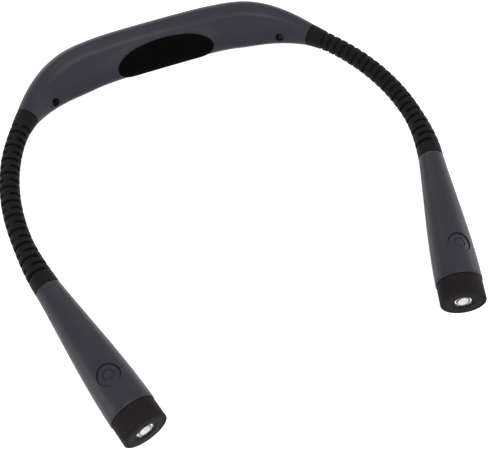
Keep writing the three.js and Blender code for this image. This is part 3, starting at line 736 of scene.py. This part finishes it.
def band_half(is_face):
    """The band's face or back as a C-shaped wall, from one end to the other."""
    rings = []
    depth = BAND_SEAM_DROP + (0 if is_face else FIT_GAP)
    start_of_lip = depth + (-LIP_ROUND if is_face else LIP_ROUND)
    toward = -1 if is_face else 1
    for i in range(BAND_STATIONS + 1):
        section = Section(2 * i / BAND_STATIONS - 1)

        def arc(inset, lip):
            drop = section.seam_angle(lip, inset)
            start = -drop if is_face else pi + drop
            sweep = pi + 2 * drop if is_face else pi - 2 * drop
            points = []
            for k in range(BAND_ARC_STEPS + 1):
                angle = start + sweep * k / BAND_ARC_STEPS
                reach = pad_reach(section, angle) if is_face and not inset else DISH_CLEAR_SHARE
                let_in = PAD_RECESS * (1 - smooth(reach, *PAD_RECESS_RIM))
                if inset or let_in:
                    points.append(section.place(*section.offsets(angle, inset + let_in)))
                else:
                    dish = DISH_DEPTH * smooth(reach, 1, DISH_CLEAR_SHARE)
                    points.append(section.place(*section.ridge_offsets(angle, dish)))
            return points

        def lip(side):
            middle = LIP_MIDDLE * LIP_ROUND
            return [section.at_depth(depth + toward * middle, middle, side),
                    section.at_depth(depth, LIP_ROUND, side)]

        first, last = (1, -1) if is_face else (-1, 1)
        outer = arc(0, start_of_lip)
        inner = arc(BAND_WALL, depth)
        rings.append(list(reversed(lip(first))) + outer + lip(last) + list(reversed(inner)))
    return loft(rings)


def screw_place(mirror):
    section = Section(mirror * (1 - SCREW_FROM_END / BAND_HALF_SPAN))
    return section, section.basis(-SCREW_OFFSET)


def boss(mirror):
    """The tube that the screw's head sinks into, up to just under the band's skin."""
    section, basis = screw_place(mirror)
    shank = SCREW_SHANK_RADIUS + FIT_GAP
    inner = SCREW_HEAD_RADIUS + FIT_GAP + BOSS_SLACK
    outer = inner + BOSS_WALL
    profile = [(shank, -BAND_SEAM_DROP), (shank, -SCREW_FLOOR_DROP), (inner, -SCREW_FLOOR_DROP),
               (inner, None), (outer, None), (outer, -BAND_SEAM_DROP)]
    rings = []
    for radius, height in profile:
        ring = []
        for angle in angles_round(SCREW_SIDES):
            width = radius * sin(angle)
            top = section.height_at(width - SCREW_OFFSET) - BAND_WALL / 2
            z = top if height is None else height
            ring.append(basis @ Vector((radius * cos(angle), width, z)))
        rings.append(ring)
    return loft(rings, loop=True)


def make_band():
    face = new_object("band_face", *band_half(True), SHELL)
    back = new_object("band_back", *band_half(False), SHELL)
    hole = SCREW_HEAD_RADIUS + FIT_GAP
    for arm in ARMS:
        profile = [(hole, BAND_HALF_THICKNESS / 3), (hole, BAND_HALF_THICKNESS * 1.5)]
        subtract(face, *turned(profile, screw_place(arm["mirror"])[1], HOLE_SIDES, loop=False))
    for arm in ARMS:
        absorb(face, new_object("boss", *boss(arm["mirror"]), SHELL))
    subtract(back, *socket_mouth())
    hand_over(face, "collar", "shell", "band_face_shell")
    hand_over(back, "collar", "shell", "band_back_shell")


@functools.cache
def skin_walk(x):
    """The section at x, with the arcs from its lower edge and the angles that they lead to."""
    section = Section(x / BAND_HALF_SPAN)
    walk = [(0.0, pi)]
    for sign in (1, -1):
        angles = [pi - sign * i * SKIN_STEP for i in range(1, SKIN_STEPS + 1)]
        walk += [(sign * arc, angle) for arc, angle in zip(arcs_to(section, angles), angles)]
    return section, sorted(walk)


def skin_point(x, arc, proud):
    """A point over the band's skin, at an arc from the lower edge up the face."""
    section, walk = skin_walk(x)
    index = bisect.bisect_left(walk, (arc,))
    (low, low_angle), (high, high_angle) = walk[index - 1], walk[index]
    angle = lerp(low_angle, high_angle, (arc - low) / (high - low))
    width, height = section.offsets(angle)

    def lean(value, half):
        return copysign(abs(value / half) ** (section.power - 1), value) / half

    across, out = lean(width, section.half_width), lean(height, section.half_thickness)
    length = hypot(across, out)
    return section.place(width + proud * across / length, height + proud * out / length)


def make_pad():
    """The oval pad, which follows the band's face, with a rounded rim."""
    edge_share = PAD_EDGE / PAD_HALF_HEIGHT

    def ring(share, height):
        points = []
        for turn in angles_round(PAD_SIDES):
            x = round(PAD_HALF_LENGTH * share * cos(turn), 4)
            points.append(skin_point(x, PAD_CENTRE + PAD_HALF_HEIGHT * share * sin(turn), height))
        return points

    flat = 1 - edge_share
    spread = flat - PAD_MIDDLE_SHARE
    rings = [ring(PAD_MIDDLE_SHARE + spread * k / PAD_TOP_RINGS, PAD_PROUD)
             for k in range(PAD_TOP_RINGS + 1)]
    for angle in quarter(ROUND_STEPS):
        rings.append(ring(flat + edge_share * sin(angle), PAD_PROUD * cos(angle)))
    for k in range(PAD_FOOT_RINGS + 1):
        rings.append(ring(1 - k / PAD_FOOT_RINGS * (1 - PAD_MIDDLE_SHARE), -PAD_SINK))
    pad = new_object("oval_neck_pad", *loft(rings), PAD)
    hand_over(pad, "collar", "pad", "neck_pad")


def make_screw(arm):
    basis = screw_place(arm["mirror"])[1]
    seat = FIT_GAP - SCREW_FLOOR_DROP
    top = seat + SCREW_HEAD_HEIGHT
    tip = top - SCREW_LENGTH
    shank, head = SCREW_SHANK_RADIUS, SCREW_HEAD_RADIUS
    profile = [(AXIS_RADIUS, tip), (shank * SCREW_TIP_SHARE, tip), (shank, tip + SCREW_TIP)]
    pitch = (seat - tip - SCREW_TIP - SCREW_NECK) / SCREW_THREADS
    for k in range(SCREW_THREADS):
        low = tip + SCREW_TIP + k * pitch
        profile += [(shank * share, low + pitch * rise) for share, rise in THREAD]
    profile += [(shank, seat), (head, seat)] + [(head * share, top - drop) for share, drop in SCREW_CROWN]
    profile.append((AXIS_RADIUS, top))
    screw = new_object("screw_" + arm["name"], *turned(profile, basis, SCREW_SIDES, loop=False), STEEL)
    reach, width = head * CROSS_SHARE, CROSS_HALF_WIDTH
    for half_x, half_y in ((reach, width), (width, reach)):
        subtract(screw, *block(half_x, half_y, top - CROSS_DEPTH, top + 1, basis))
    hand_over(screw, "collar", "screw", "shell_screw_" + arm["name"])


# Charging socket

def stadium_ring(half_width, half_height, z, matrix, steps=10):
    ring = []
    for sign in (1, -1):
        for k in range(steps + 1):
            angle = pi * k / steps - sign * pi / 2
            x = sign * (half_width - half_height) + half_height * cos(angle)
            ring.append(matrix @ Vector((x, half_height * sin(angle), z)))
    return ring


def socket_mouth():
    basis = Section(0).basis()
    half_width = SOCKET_WIDTH / 2 + FIT_GAP
    half_height = SOCKET_HEIGHT / 2 + FIT_GAP
    ends = (-BAND_HALF_THICKNESS / 2, -2 * BAND_HALF_THICKNESS)
    return loft([stadium_ring(half_width, half_height, z, basis) for z in ends])


def make_socket():
    basis = Section(0).basis()
    low = -BAND_HALF_THICKNESS + SOCKET_INSET
    top = CELL_CENTRE - CELL_THICKNESS / 2 - FIT_GAP
    floor = top - SOCKET_BACK_WALL
    outer = (SOCKET_WIDTH / 2, SOCKET_HEIGHT / 2)
    inner = (outer[0] - SOCKET_WALL, outer[1] - SOCKET_WALL)
    edge = low + SOCKET_EDGE_LENGTH
    profile = [(outer[0] * SOCKET_BACK_SHARES[0], outer[1] * SOCKET_BACK_SHARES[1], top),
               (*outer, top - SOCKET_BACK_LENGTH), (*outer, edge),
               (outer[0] - SOCKET_EDGE, outer[1] - SOCKET_EDGE, low),
               (inner[0] + SOCKET_EDGE, inner[1] + SOCKET_EDGE, low), (*inner, edge), (*inner, floor)]
    rings = [stadium_ring(half_width, half_height, z, basis) for half_width, half_height, z in profile]
    socket = new_object("charging_socket_shell", *loft(rings), SOCKET_STEEL)
    hand_over(socket, "collar", "socket", "charging_socket")
    make_tongue(basis, floor)


def make_tongue(basis, floor):
    """The socket's tongue, with a row of contacts on both sides."""
    low = floor - SOCKET_TONGUE_REACH
    half_width, half_height = SOCKET_TONGUE_WIDTH / 2, SOCKET_TONGUE_HEIGHT / 2
    tongue = new_object("charging_socket_tongue",
                        *block(half_width, half_height, low, floor + SOCKET_WALL, basis), SWITCH)
    for side in (-1, 1):
        for k in range(CONTACT_COUNT):
            x = (k - (CONTACT_COUNT - 1) / 2) * CONTACT_PITCH
            place = basis @ Matrix.Translation((x, side * half_height, 0))
            strip = block(CONTACT_HALF_WIDTH, CONTACT_HALF_HEIGHT, low + CONTACT_SETBACK, floor, place)
            absorb(tongue, new_object("contact", *strip, SOCKET_STEEL))
    hand_over(tongue, "collar", "socket")


# Arms

def arm_ring(arm, s, sides, radius_at):
    place = arm_at(arm, s)
    ring = []
    for angle in angles_round(sides):
        radius = radius_at(angle - place["turn"])
        spoke = place["side"] * (radius * cos(angle)) + UP * (radius * sin(angle))
        ring.append(place["point"] + spoke)
    return ring


def slot_dip(row, distance, angle, radius):
    """Depth of a row's slots at a distance along the arm from its middle."""
    web = 0 if row % 2 == 0 else pi / 2
    from_web = abs((angle - web + pi / 2) % pi - pi / 2)
    across = (pi / 2 - from_web) * radius
    half_length = (pi - WEB_ANGLE) / 2 * radius
    outside_x = across - (half_length - SLOT_CORNER)
    outside_y = abs(distance) - (SLOT_HALF_WIDTH - SLOT_CORNER)
    inside = min(max(outside_x, outside_y), 0)
    gap = hypot(max(outside_x, 0), max(outside_y, 0)) + inside - SLOT_CORNER
    lip = SLOT_LIP_DROP * (1 - smooth(gap, 0, SLOT_LIP_REACH))
    return lip + (SLOT_DEPTH - SLOT_LIP_DROP) * (1 - smooth(gap, *SLOT_WALL))


def sleeve_places(start, end):
    """Where rings lie between two places: dense at the slots, with the cuffs' rounded ends."""
    places = {start, end}
    for row in range(SLOT_ROWS):
        places.update(row_place(row) + sign * step for step in ROW_STEPS for sign in (-1, 1))
        places.add(row_place(row) + SLOT_PITCH / 2)
    for end_place, sign in ((FIT_GAP, 1), (ARM_LENGTH - FIT_GAP, -1)):
        places.update(end_place + sign * step for step in CUFF_STEPS)
    return sorted(place for place in places if start <= place <= end)


def sleeve_surface(s, angle):
    radius = sleeve_radius(s)
    row = min(SLOT_ROWS - 1, max(0, round((s - UPPER_CUFF) / SLOT_PITCH)))
    distance = s - row_place(row)
    radius -= slot_dip(row, distance, angle, radius)
    to_end = min(s - FIT_GAP, ARM_LENGTH - FIT_GAP - s)
    if to_end < CUFF_ROUND:
        radius -= CUFF_ROUND - sqrt(max(0.0, CUFF_ROUND**2 - (CUFF_ROUND - to_end) ** 2))
    return radius


def stretches(first, last):
    """Numbered stretches, one round each hinge; they meet in the middle of slot rows between."""
    rows = [FIRST_SEAM_ROW + SEAM_ROW_STEP * k - SEAM_ROW_STEP // 2 for k in range(1, SEAM_COUNT)]
    edges = [first] + [row_place(row) for row in rows] + [last]
    return enumerate(zip(edges, edges[1:]), 1)


def link_body(arm, number):
    return "collar" if number == 1 else arm["name"] + "_link_" + str(number)


def make_stretch(arm, number, kind, shape, material, angle):
    """A piece of one arm round a hinge, in place of the solids that it covers."""
    piece = new_object(f"{arm['name']}_{kind}_stretch_{number}", *shape, material, angle)
    covered = (number, number + 1) if number == SEAM_COUNT else (number,)
    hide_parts(*(f"{arm['name']}_{kind}_{n}" for n in covered))
    hinge = hinge_place(number)
    start, end = (placed(arm_at(arm, hinge + sign * BEND_REACH)["point"]) for sign in (-1, 1))
    link_body(arm, number)
    link_body(arm, number + 1)
    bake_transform(piece)
    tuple(start)
    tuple(end)


def make_sleeve(arm):
    for number, (start, end) in stretches(FIT_GAP, ARM_LENGTH - FIT_GAP):
        rings = []
        for s in sleeve_places(start, end):
            rings.append(arm_ring(arm, s, SLEEVE_SIDES, lambda angle: sleeve_surface(s, angle)))
        for k in range(BORE_STEPS + 1):
            s = lerp(end, start, k / BORE_STEPS)
            rings.append(arm_ring(arm, s, SLEEVE_SIDES, lambda angle: CORE_RADIUS + FIT_GAP))
        make_stretch(arm, number, "sleeve", loft(rings, loop=True), SLEEVE, SLEEVE_ANGLE)


def wound_radius(s):
    ridge = cos(2 * pi * s / CORE_WIRE_PITCH)
    return CORE_RADIUS - CORE_WIRE_DEPTH * (1 - ridge) / 2


def make_core(arm):
    """The wound steel core inside each stretch of the sleeve, ridged like its wire."""
    for number, (start, end) in stretches(-CORE_TAIL, ARM_LENGTH + CORE_TAIL):
        steps = round((end - start) / (CORE_WIRE_PITCH / CORE_WIRE_STEPS))
        rings = []
        for k in range(steps + 1):
            s = lerp(start, end, k / steps)
            rings.append(arm_ring(arm, s, CORE_SIDES, lambda angle: wound_radius(s)))
        make_stretch(arm, number, "core", loft(rings), WIRE, SMOOTH_ANGLE)


# Lamp heads

def head_basis(arm):
    end = arm_at(arm, ARM_LENGTH)
    level = axes_at(UP.cross(end["along"]), UP, end["along"], end["point"])
    return level @ Matrix.Rotation(radians(-arm["head_turn"]), 4, "Z")


def shell_radius(place):
    u = place / SHELL_LENGTH
    return lerp(HEAD_BASE_RADIUS, HEAD_RIM_RADIUS, u + u**2 - u**3)


def shell_stations():
    """Places along the shell and how far its skin is drawn in there, for rounded ends."""
    steps = 4
    stations = []
    for k in range(steps):
        angle = pi / 2 * k / steps
        stations.append((SHELL_EDGE * (1 - cos(angle)), SHELL_EDGE * (1 - sin(angle))))
    count = int(SHELL_LENGTH / SHELL_STATION_STEP)
    middle = [(SHELL_STATION_STEP * k, 0.0) for k in range(1, count)]
    return stations + middle + [(SHELL_LENGTH - place, inset) for place, inset in reversed(stations)]


def half_shell(arm, is_upper):
    basis = head_basis(arm)
    sign = 1 if is_upper else -1
    half_gap = FIT_GAP / 2
    rings = []
    for place, inset in shell_stations():
        outer = shell_radius(place) - inset
        inner = shell_radius(place) - SHELL_WALL

        def at(radius, height, side):
            return basis @ Vector((side * sqrt(radius**2 - height**2), sign * height, place))

        def arc(radius, lift):
            start = asin((half_gap + lift) / radius)
            points = []
            for k in range(HEAD_ARC_STEPS + 1):
                angle = lerp(start, pi - start, k / HEAD_ARC_STEPS)
                x, y = radius * cos(angle), sign * radius * sin(angle)
                points.append(basis @ Vector((x, y, place)))
            return points

        def lip(side):
            return [at(outer - SPLIT_LIP, half_gap, side),
                    at(outer - SPLIT_LIP_MIDDLE, half_gap + SPLIT_LIP_MIDDLE, side)]

        inner_arc = list(reversed(arc(inner, 0.0)))
        rings.append(lip(1) + arc(outer, SPLIT_LIP) + list(reversed(lip(-1))) + inner_arc)
    return loft(rings)


def button_foot():
    inside = shell_radius(BUTTON_PLACE) - SHELL_WALL
    over_flange = sqrt(inside**2 - (BUTTON_RADIUS + BUTTON_FLANGE) ** 2)
    return over_flange - BUTTON_FLANGE_SLACK - BUTTON_FLANGE_HEIGHT


def power_mark(x, z):
    """How deep the mark is pressed in: a ring open towards the lamp, with a bar in the opening."""
    reach = hypot(x, z)
    off_opening = abs(atan2(x, z))
    ring = abs(reach - MARK_RADIUS)
    if off_opening < MARK_GAP:
        end_x = copysign(MARK_RADIUS * sin(MARK_GAP), x)
        ring = hypot(x - end_x, z - MARK_RADIUS * cos(MARK_GAP))
    bar = hypot(x, z - min(BAR_HIGH, max(BAR_LOW, z)))
    return MARK_DEPTH * (1 - smooth(min(ring, bar) - MARK_HALF_WIDTH, *MARK_EDGE))


def make_button(arm):
    basis = head_basis(arm)

    def top(x, z):
        radius = shell_radius(BUTTON_PLACE + z) - BUTTON_RECESS
        return sqrt(radius**2 - x**2) - power_mark(x, z)

    def ring(reach, height_at):
        points = []
        for angle in angles_round(BUTTON_SIDES):
            x, z = reach * cos(angle), reach * sin(angle)
            points.append(basis @ Vector((x, height_at(x, z), BUTTON_PLACE + z)))
        return points

    flat = BUTTON_RADIUS - BUTTON_EDGE
    rings = [ring(max(AXIS_RADIUS, flat * k / BUTTON_RINGS), top) for k in range(BUTTON_RINGS + 1)]
    for angle in quarter(ROUND_STEPS):
        drop = BUTTON_EDGE * (1 - cos(angle))
        rings.append(ring(flat + BUTTON_EDGE * sin(angle), lambda x, z: top(x, z) - drop))
    foot = button_foot()
    flange_top = foot + BUTTON_FLANGE_HEIGHT
    flange = BUTTON_RADIUS + BUTTON_FLANGE
    for reach, height in ((BUTTON_RADIUS, flange_top), (flange, flange_top), (flange, foot)):
        rings.append(ring(reach, lambda x, z: height))
    button = new_object(arm["name"] + "_power_button", *loft(rings), SHELL)
    hand_over(button, arm["name"] + "_button", "button", arm["name"] + "_button")


def make_head_shells(arm, body):
    for is_upper, word in ((True, "upper"), (False, "lower")):
        piece = new_object(arm["name"] + "_head_" + word, *half_shell(arm, is_upper), SHELL)
        if is_upper:
            at_button = Matrix.Translation((0, 0, BUTTON_PLACE))
            matrix = head_basis(arm) @ at_button @ Matrix.Rotation(-pi / 2, 4, "X")
            hole = BUTTON_RADIUS + BUTTON_GAP
            profile = [(hole, HEAD_BASE_RADIUS / 2), (hole, 2 * HEAD_RIM_RADIUS)]
            subtract(piece, *turned(profile, matrix, loop=False))
        hand_over(piece, body, "shell", arm["name"] + "_head_" + word + "_shell")


def spigot_radius():
    return shell_radius(SHELL_LENGTH - SPIGOT_LENGTH) - SHELL_WALL - FIT_GAP


def make_cap(arm, body):
    back = SHELL_LENGTH - SPIGOT_LENGTH
    start = SHELL_LENGTH + FIT_GAP
    end = SHELL_LENGTH + CAP_LENGTH
    spigot = spigot_radius()
    bore = spigot - SPIGOT_WALL
    inner = end - CAP_FACE_THICKNESS
    groove = CAP_RADIUS - FACE_GROOVE_INSET
    groove_inner = groove - FACE_GROOVE_WIDTH
    groove_floor = end - FACE_GROOVE_DEPTH
    profile = [
        (spigot, back), (spigot, start), (CAP_RADIUS, start), (CAP_RADIUS, end), (groove, end),
        (groove, groove_floor), (groove_inner, groove_floor), (groove_inner, end),
        (LENS_RADIUS + OPENING_CHAMFER, end), (LENS_RADIUS, end - OPENING_CHAMFER_DEPTH),
        (LENS_RADIUS, inner), (bore, inner), (bore, back),
    ]
    profile = rounded(profile, {2: CAP_BACK_EDGE, 3: CAP_EDGE, 4: FACE_GROOVE_EDGE, 7: FACE_GROOVE_EDGE,
                                8: OPENING_OUTER_EDGE, 9: OPENING_INNER_EDGE})
    cap = new_object(arm["name"] + "_lamp_cap", *turned(profile, head_basis(arm)), CAP)
    hand_over(cap, body, "cap", arm["name"] + "_end_cap")


def make_lens(arm, body):
    """A domed lens with a flange, hollow behind its window."""
    rim = LENS_RADIUS - FIT_GAP
    flange = LENS_RADIUS + LENS_FLANGE
    profile = [(AXIS_RADIUS, UNDER_WINDOW), (LENS_HOLLOW, UNDER_WINDOW), (LENS_HOLLOW, FLANGE_BACK),
               (flange, FLANGE_BACK), (flange, FLANGE_FRONT), (rim, FLANGE_FRONT)]
    for k in range(LENS_STEPS):
        share = k / LENS_STEPS
        profile.append((rim * (1 - share), LENS_FRONT - LENS_DOME * (1 - share) ** 2))
    profile.append((AXIS_RADIUS, LENS_FRONT))
    lens = new_object(arm["name"] + "_clear_lens", *turned(profile, head_basis(arm), loop=False), LENS)
    hand_over(lens, body, "lens", arm["name"] + "_lens")


def make_reflector(arm, body):
    """A cup with a bright lip behind the lens's window, and a bowl coloured near black as a painted dark
    reflection.
    """
    basis = head_basis(arm)
    outer = spigot_radius() - SPIGOT_WALL - FIT_GAP
    lip_top = UNDER_WINDOW - FIT_GAP
    lip_outer = LENS_HOLLOW - FIT_GAP / 2
    lip_inner = lip_outer - REFLECTOR_LIP
    profile = [((outer + REFLECTOR_THROAT) / 2, REFLECTOR_BACK),
               (outer, REFLECTOR_FRONT - REFLECTOR_LENGTH / 4), (outer, REFLECTOR_FRONT),
               (lip_outer, REFLECTOR_FRONT), (lip_outer, lip_top)]
    for k in range(BOWL_STEPS + 1):
        share = 1 - k / BOWL_STEPS
        radius = lerp(REFLECTOR_THROAT, lip_inner, sqrt(share))
        profile.append((radius, lerp(REFLECTOR_BACK, lip_top, share)))
    cup = new_object(arm["name"] + "_reflector_cup", *turned(profile, basis), MIRROR)
    cup.data.materials.append(PAINTED_DARK_REFLECTION)
    middle, along = placed(basis.translation), basis.to_3x3() @ UP
    # Faces inside the lip take the near-black coat: a painted dark reflection in the bowl.
    for face in cup.data.polygons:
        off_axis = (face.center - middle).cross(along).length / MM
        face.material_index = int(off_axis < lip_inner)
    hand_over(cup, body, "reflector", arm["name"] + "_reflector")


def make_led(arm, body):
    """The chip at the bowl's foot, and the frosted oval under the window that spreads its light."""
    basis = head_basis(arm)
    half = LED_SIDE / 2
    body_shape = block(half, half, REFLECTOR_BACK, REFLECTOR_BACK + LED_BODY_HEIGHT, basis)
    chip = new_object(arm["name"] + "_led_body", *body_shape, LED)
    rework(chip.data, bevel_edges)
    hand_over(chip, body, "led", arm["name"] + "_led_chip")
    oval = [(FROST_HALF_WIDTH * cos(turn), FROST_HALF_HEIGHT * sin(turn))
            for turn in angles_round(FROST_SIDES)]
    levels = (UNDER_WINDOW, UNDER_WINDOW - FROST_THICKNESS)
    rings = [[basis @ Vector((x, y, z)) for x, y in oval] for z in levels]
    frost = new_object(arm["name"] + "_lens_frosting", *loft(rings), FROST)
    hand_over(frost, body, "lens")


def finish_inner_nodes():
    """The inner pieces keep their solids and get their finishes."""
    finishes = {"_board": BOARD, "battery_cell": FOIL, "_switch": SWITCH}
    for name, node in frame["nodes"].items():
        for ending, material in finishes.items():
            if name.endswith(ending):
                node.data.materials.clear()
                node.data.materials.append(material)


# Camera, floor and light

def make_camera():
    data = bpy.data.cameras.new("camera")
    data.sensor_fit = "HORIZONTAL"
    data.sensor_width = SENSOR_WIDTH
    data.lens = CAMERA_LENS
    data.clip_start = 0.01
    data.clip_end = 10
    camera = linked("camera", data)
    right = CAMERA_FORWARD.cross(CAMERA_UP).normalized()
    upward = right.cross(CAMERA_FORWARD).normalized()
    camera.matrix_world = axes_at(right, upward, -CAMERA_FORWARD.normalized(), placed(CAMERA_PLACE))
    bpy.context.scene.camera = camera


def seen_directly(nodes, link):
    """1 for rays that show the background itself: to the camera, in reflections and through glass."""
    rays = nodes.new("ShaderNodeLightPath")
    total = rays.outputs["Is Camera Ray"]
    for name in ("Is Glossy Ray", "Is Transmission Ray"):
        either = nodes.new("ShaderNodeMath")
        either.operation = "MAXIMUM"
        link(total, either.inputs[0])
        link(rays.outputs[name], either.inputs[1])
        total = either.outputs[0]
    return total


def make_floor():
    """A pale floor that keeps the object's shadow, and is clear from underneath."""
    reach = 3.0
    corners = [(-reach, -reach, 0), (reach, -reach, 0), (reach, reach, 0), (-reach, reach, 0)]
    mesh = bpy.data.meshes.new("floor")
    mesh.from_pydata(corners, [], [(0, 1, 2, 3)])
    floor = linked("floor", mesh)
    shader = Shader("white_floor", (0.65, 0.65, 0.65), 0.9, specular=0.1)
    surface = shader.base.outputs["BSDF"]
    glow, added = shader.node("Emission", Strength=FLOOR_GLOW), shader.node("AddShader")
    shader.link(surface, added.inputs[0])
    shader.link(glow.outputs["Emission"], added.inputs[1])
    seen, one_sided = shader.node("MixShader"), shader.node("MixShader")
    shader.link(seen_directly(shader.nodes, shader.link), seen.inputs[0])
    shader.link(surface, seen.inputs[1])
    shader.link(added.outputs["Shader"], seen.inputs[2])
    shader.link(shader.node("NewGeometry").outputs["Backfacing"], one_sided.inputs[0])
    shader.link(seen.outputs["Shader"], one_sided.inputs[1])
    shader.link(shader.node("BsdfTransparent").outputs["BSDF"], one_sided.inputs[2])
    shader.link(one_sided.outputs["Shader"], shader.nodes["Material Output"].inputs["Surface"])
    mesh.materials.append(shader.material)


def make_world():
    """Soft grey light all round, seen as plain white by the camera and in reflections."""
    world = bpy.data.worlds.new("studio")
    bpy.context.scene.world = world
    world.use_nodes = True
    nodes, link = world.node_tree.nodes, world.node_tree.links.new
    soft, seen = nodes["Background"], nodes.new("ShaderNodeBackground")
    for background, strength in ((soft, WORLD_LIGHT), (seen, 1.0)):
        background.inputs["Color"].default_value = (1, 1, 1, 1)
        background.inputs["Strength"].default_value = strength
    choice = nodes.new("ShaderNodeMixShader")
    link(seen_directly(nodes, link), choice.inputs[0])
    link(soft.outputs[0], choice.inputs[1])
    link(seen.outputs[0], choice.inputs[2])
    link(choice.outputs[0], nodes["World Output"].inputs["Surface"])


def make_lights():
    """Soft panels round the object: a heading from the front towards the right, and a height."""
    panels = [
        ("front_high", 0, 65, (0.5, 0.35), 3.5),
        ("front_ridge", 0, 42, (2.2, 0.2), 4.2),
        ("overhead", 0, 90, (0.6, 0.6), 0.6),
        ("left_low", -90, 9, (0.6, 0.3), 1.8),
        ("right_low", 90, 9, (0.6, 0.3), 1.4),
        ("right_high", 90, 45, (0.5, 0.4), 0.5),
        ("back", 180, 22, (1.0, 0.5), 1.8),
    ]
    distance = 1.1
    for name, heading, height, size, power in panels:
        data = bpy.data.lights.new(name, "AREA")
        data.shape = "RECTANGLE"
        data.size, data.size_y = size
        data.energy = power
        turn, lift = radians(heading), radians(height)
        out = Vector((sin(turn) * cos(lift), -cos(turn) * cos(lift), sin(lift)))
        light = linked(name, data)
        light.location = out * distance
        light.rotation_mode = "QUATERNION"
        light.rotation_quaternion = (Vector((0, 0, 0)) - light.location).to_track_quat("-Z", "Y")


def make_all():
    make_camera()
    make_floor()
    make_world()
    make_lights()
    make_band()
    make_pad()
    make_socket()
    for arm in ARMS:
        body = link_body(arm, SEAM_COUNT + 1)
        make_screw(arm)
        make_sleeve(arm)
        make_core(arm)
        make_head_shells(arm, body)
        make_button(arm)
        make_cap(arm, body)
        make_lens(arm, body)
        make_reflector(arm, body)
        make_led(arm, body)
    finish_inner_nodes()
    bpy.context.scene.view_settings.view_transform = "Standard"


make_all()
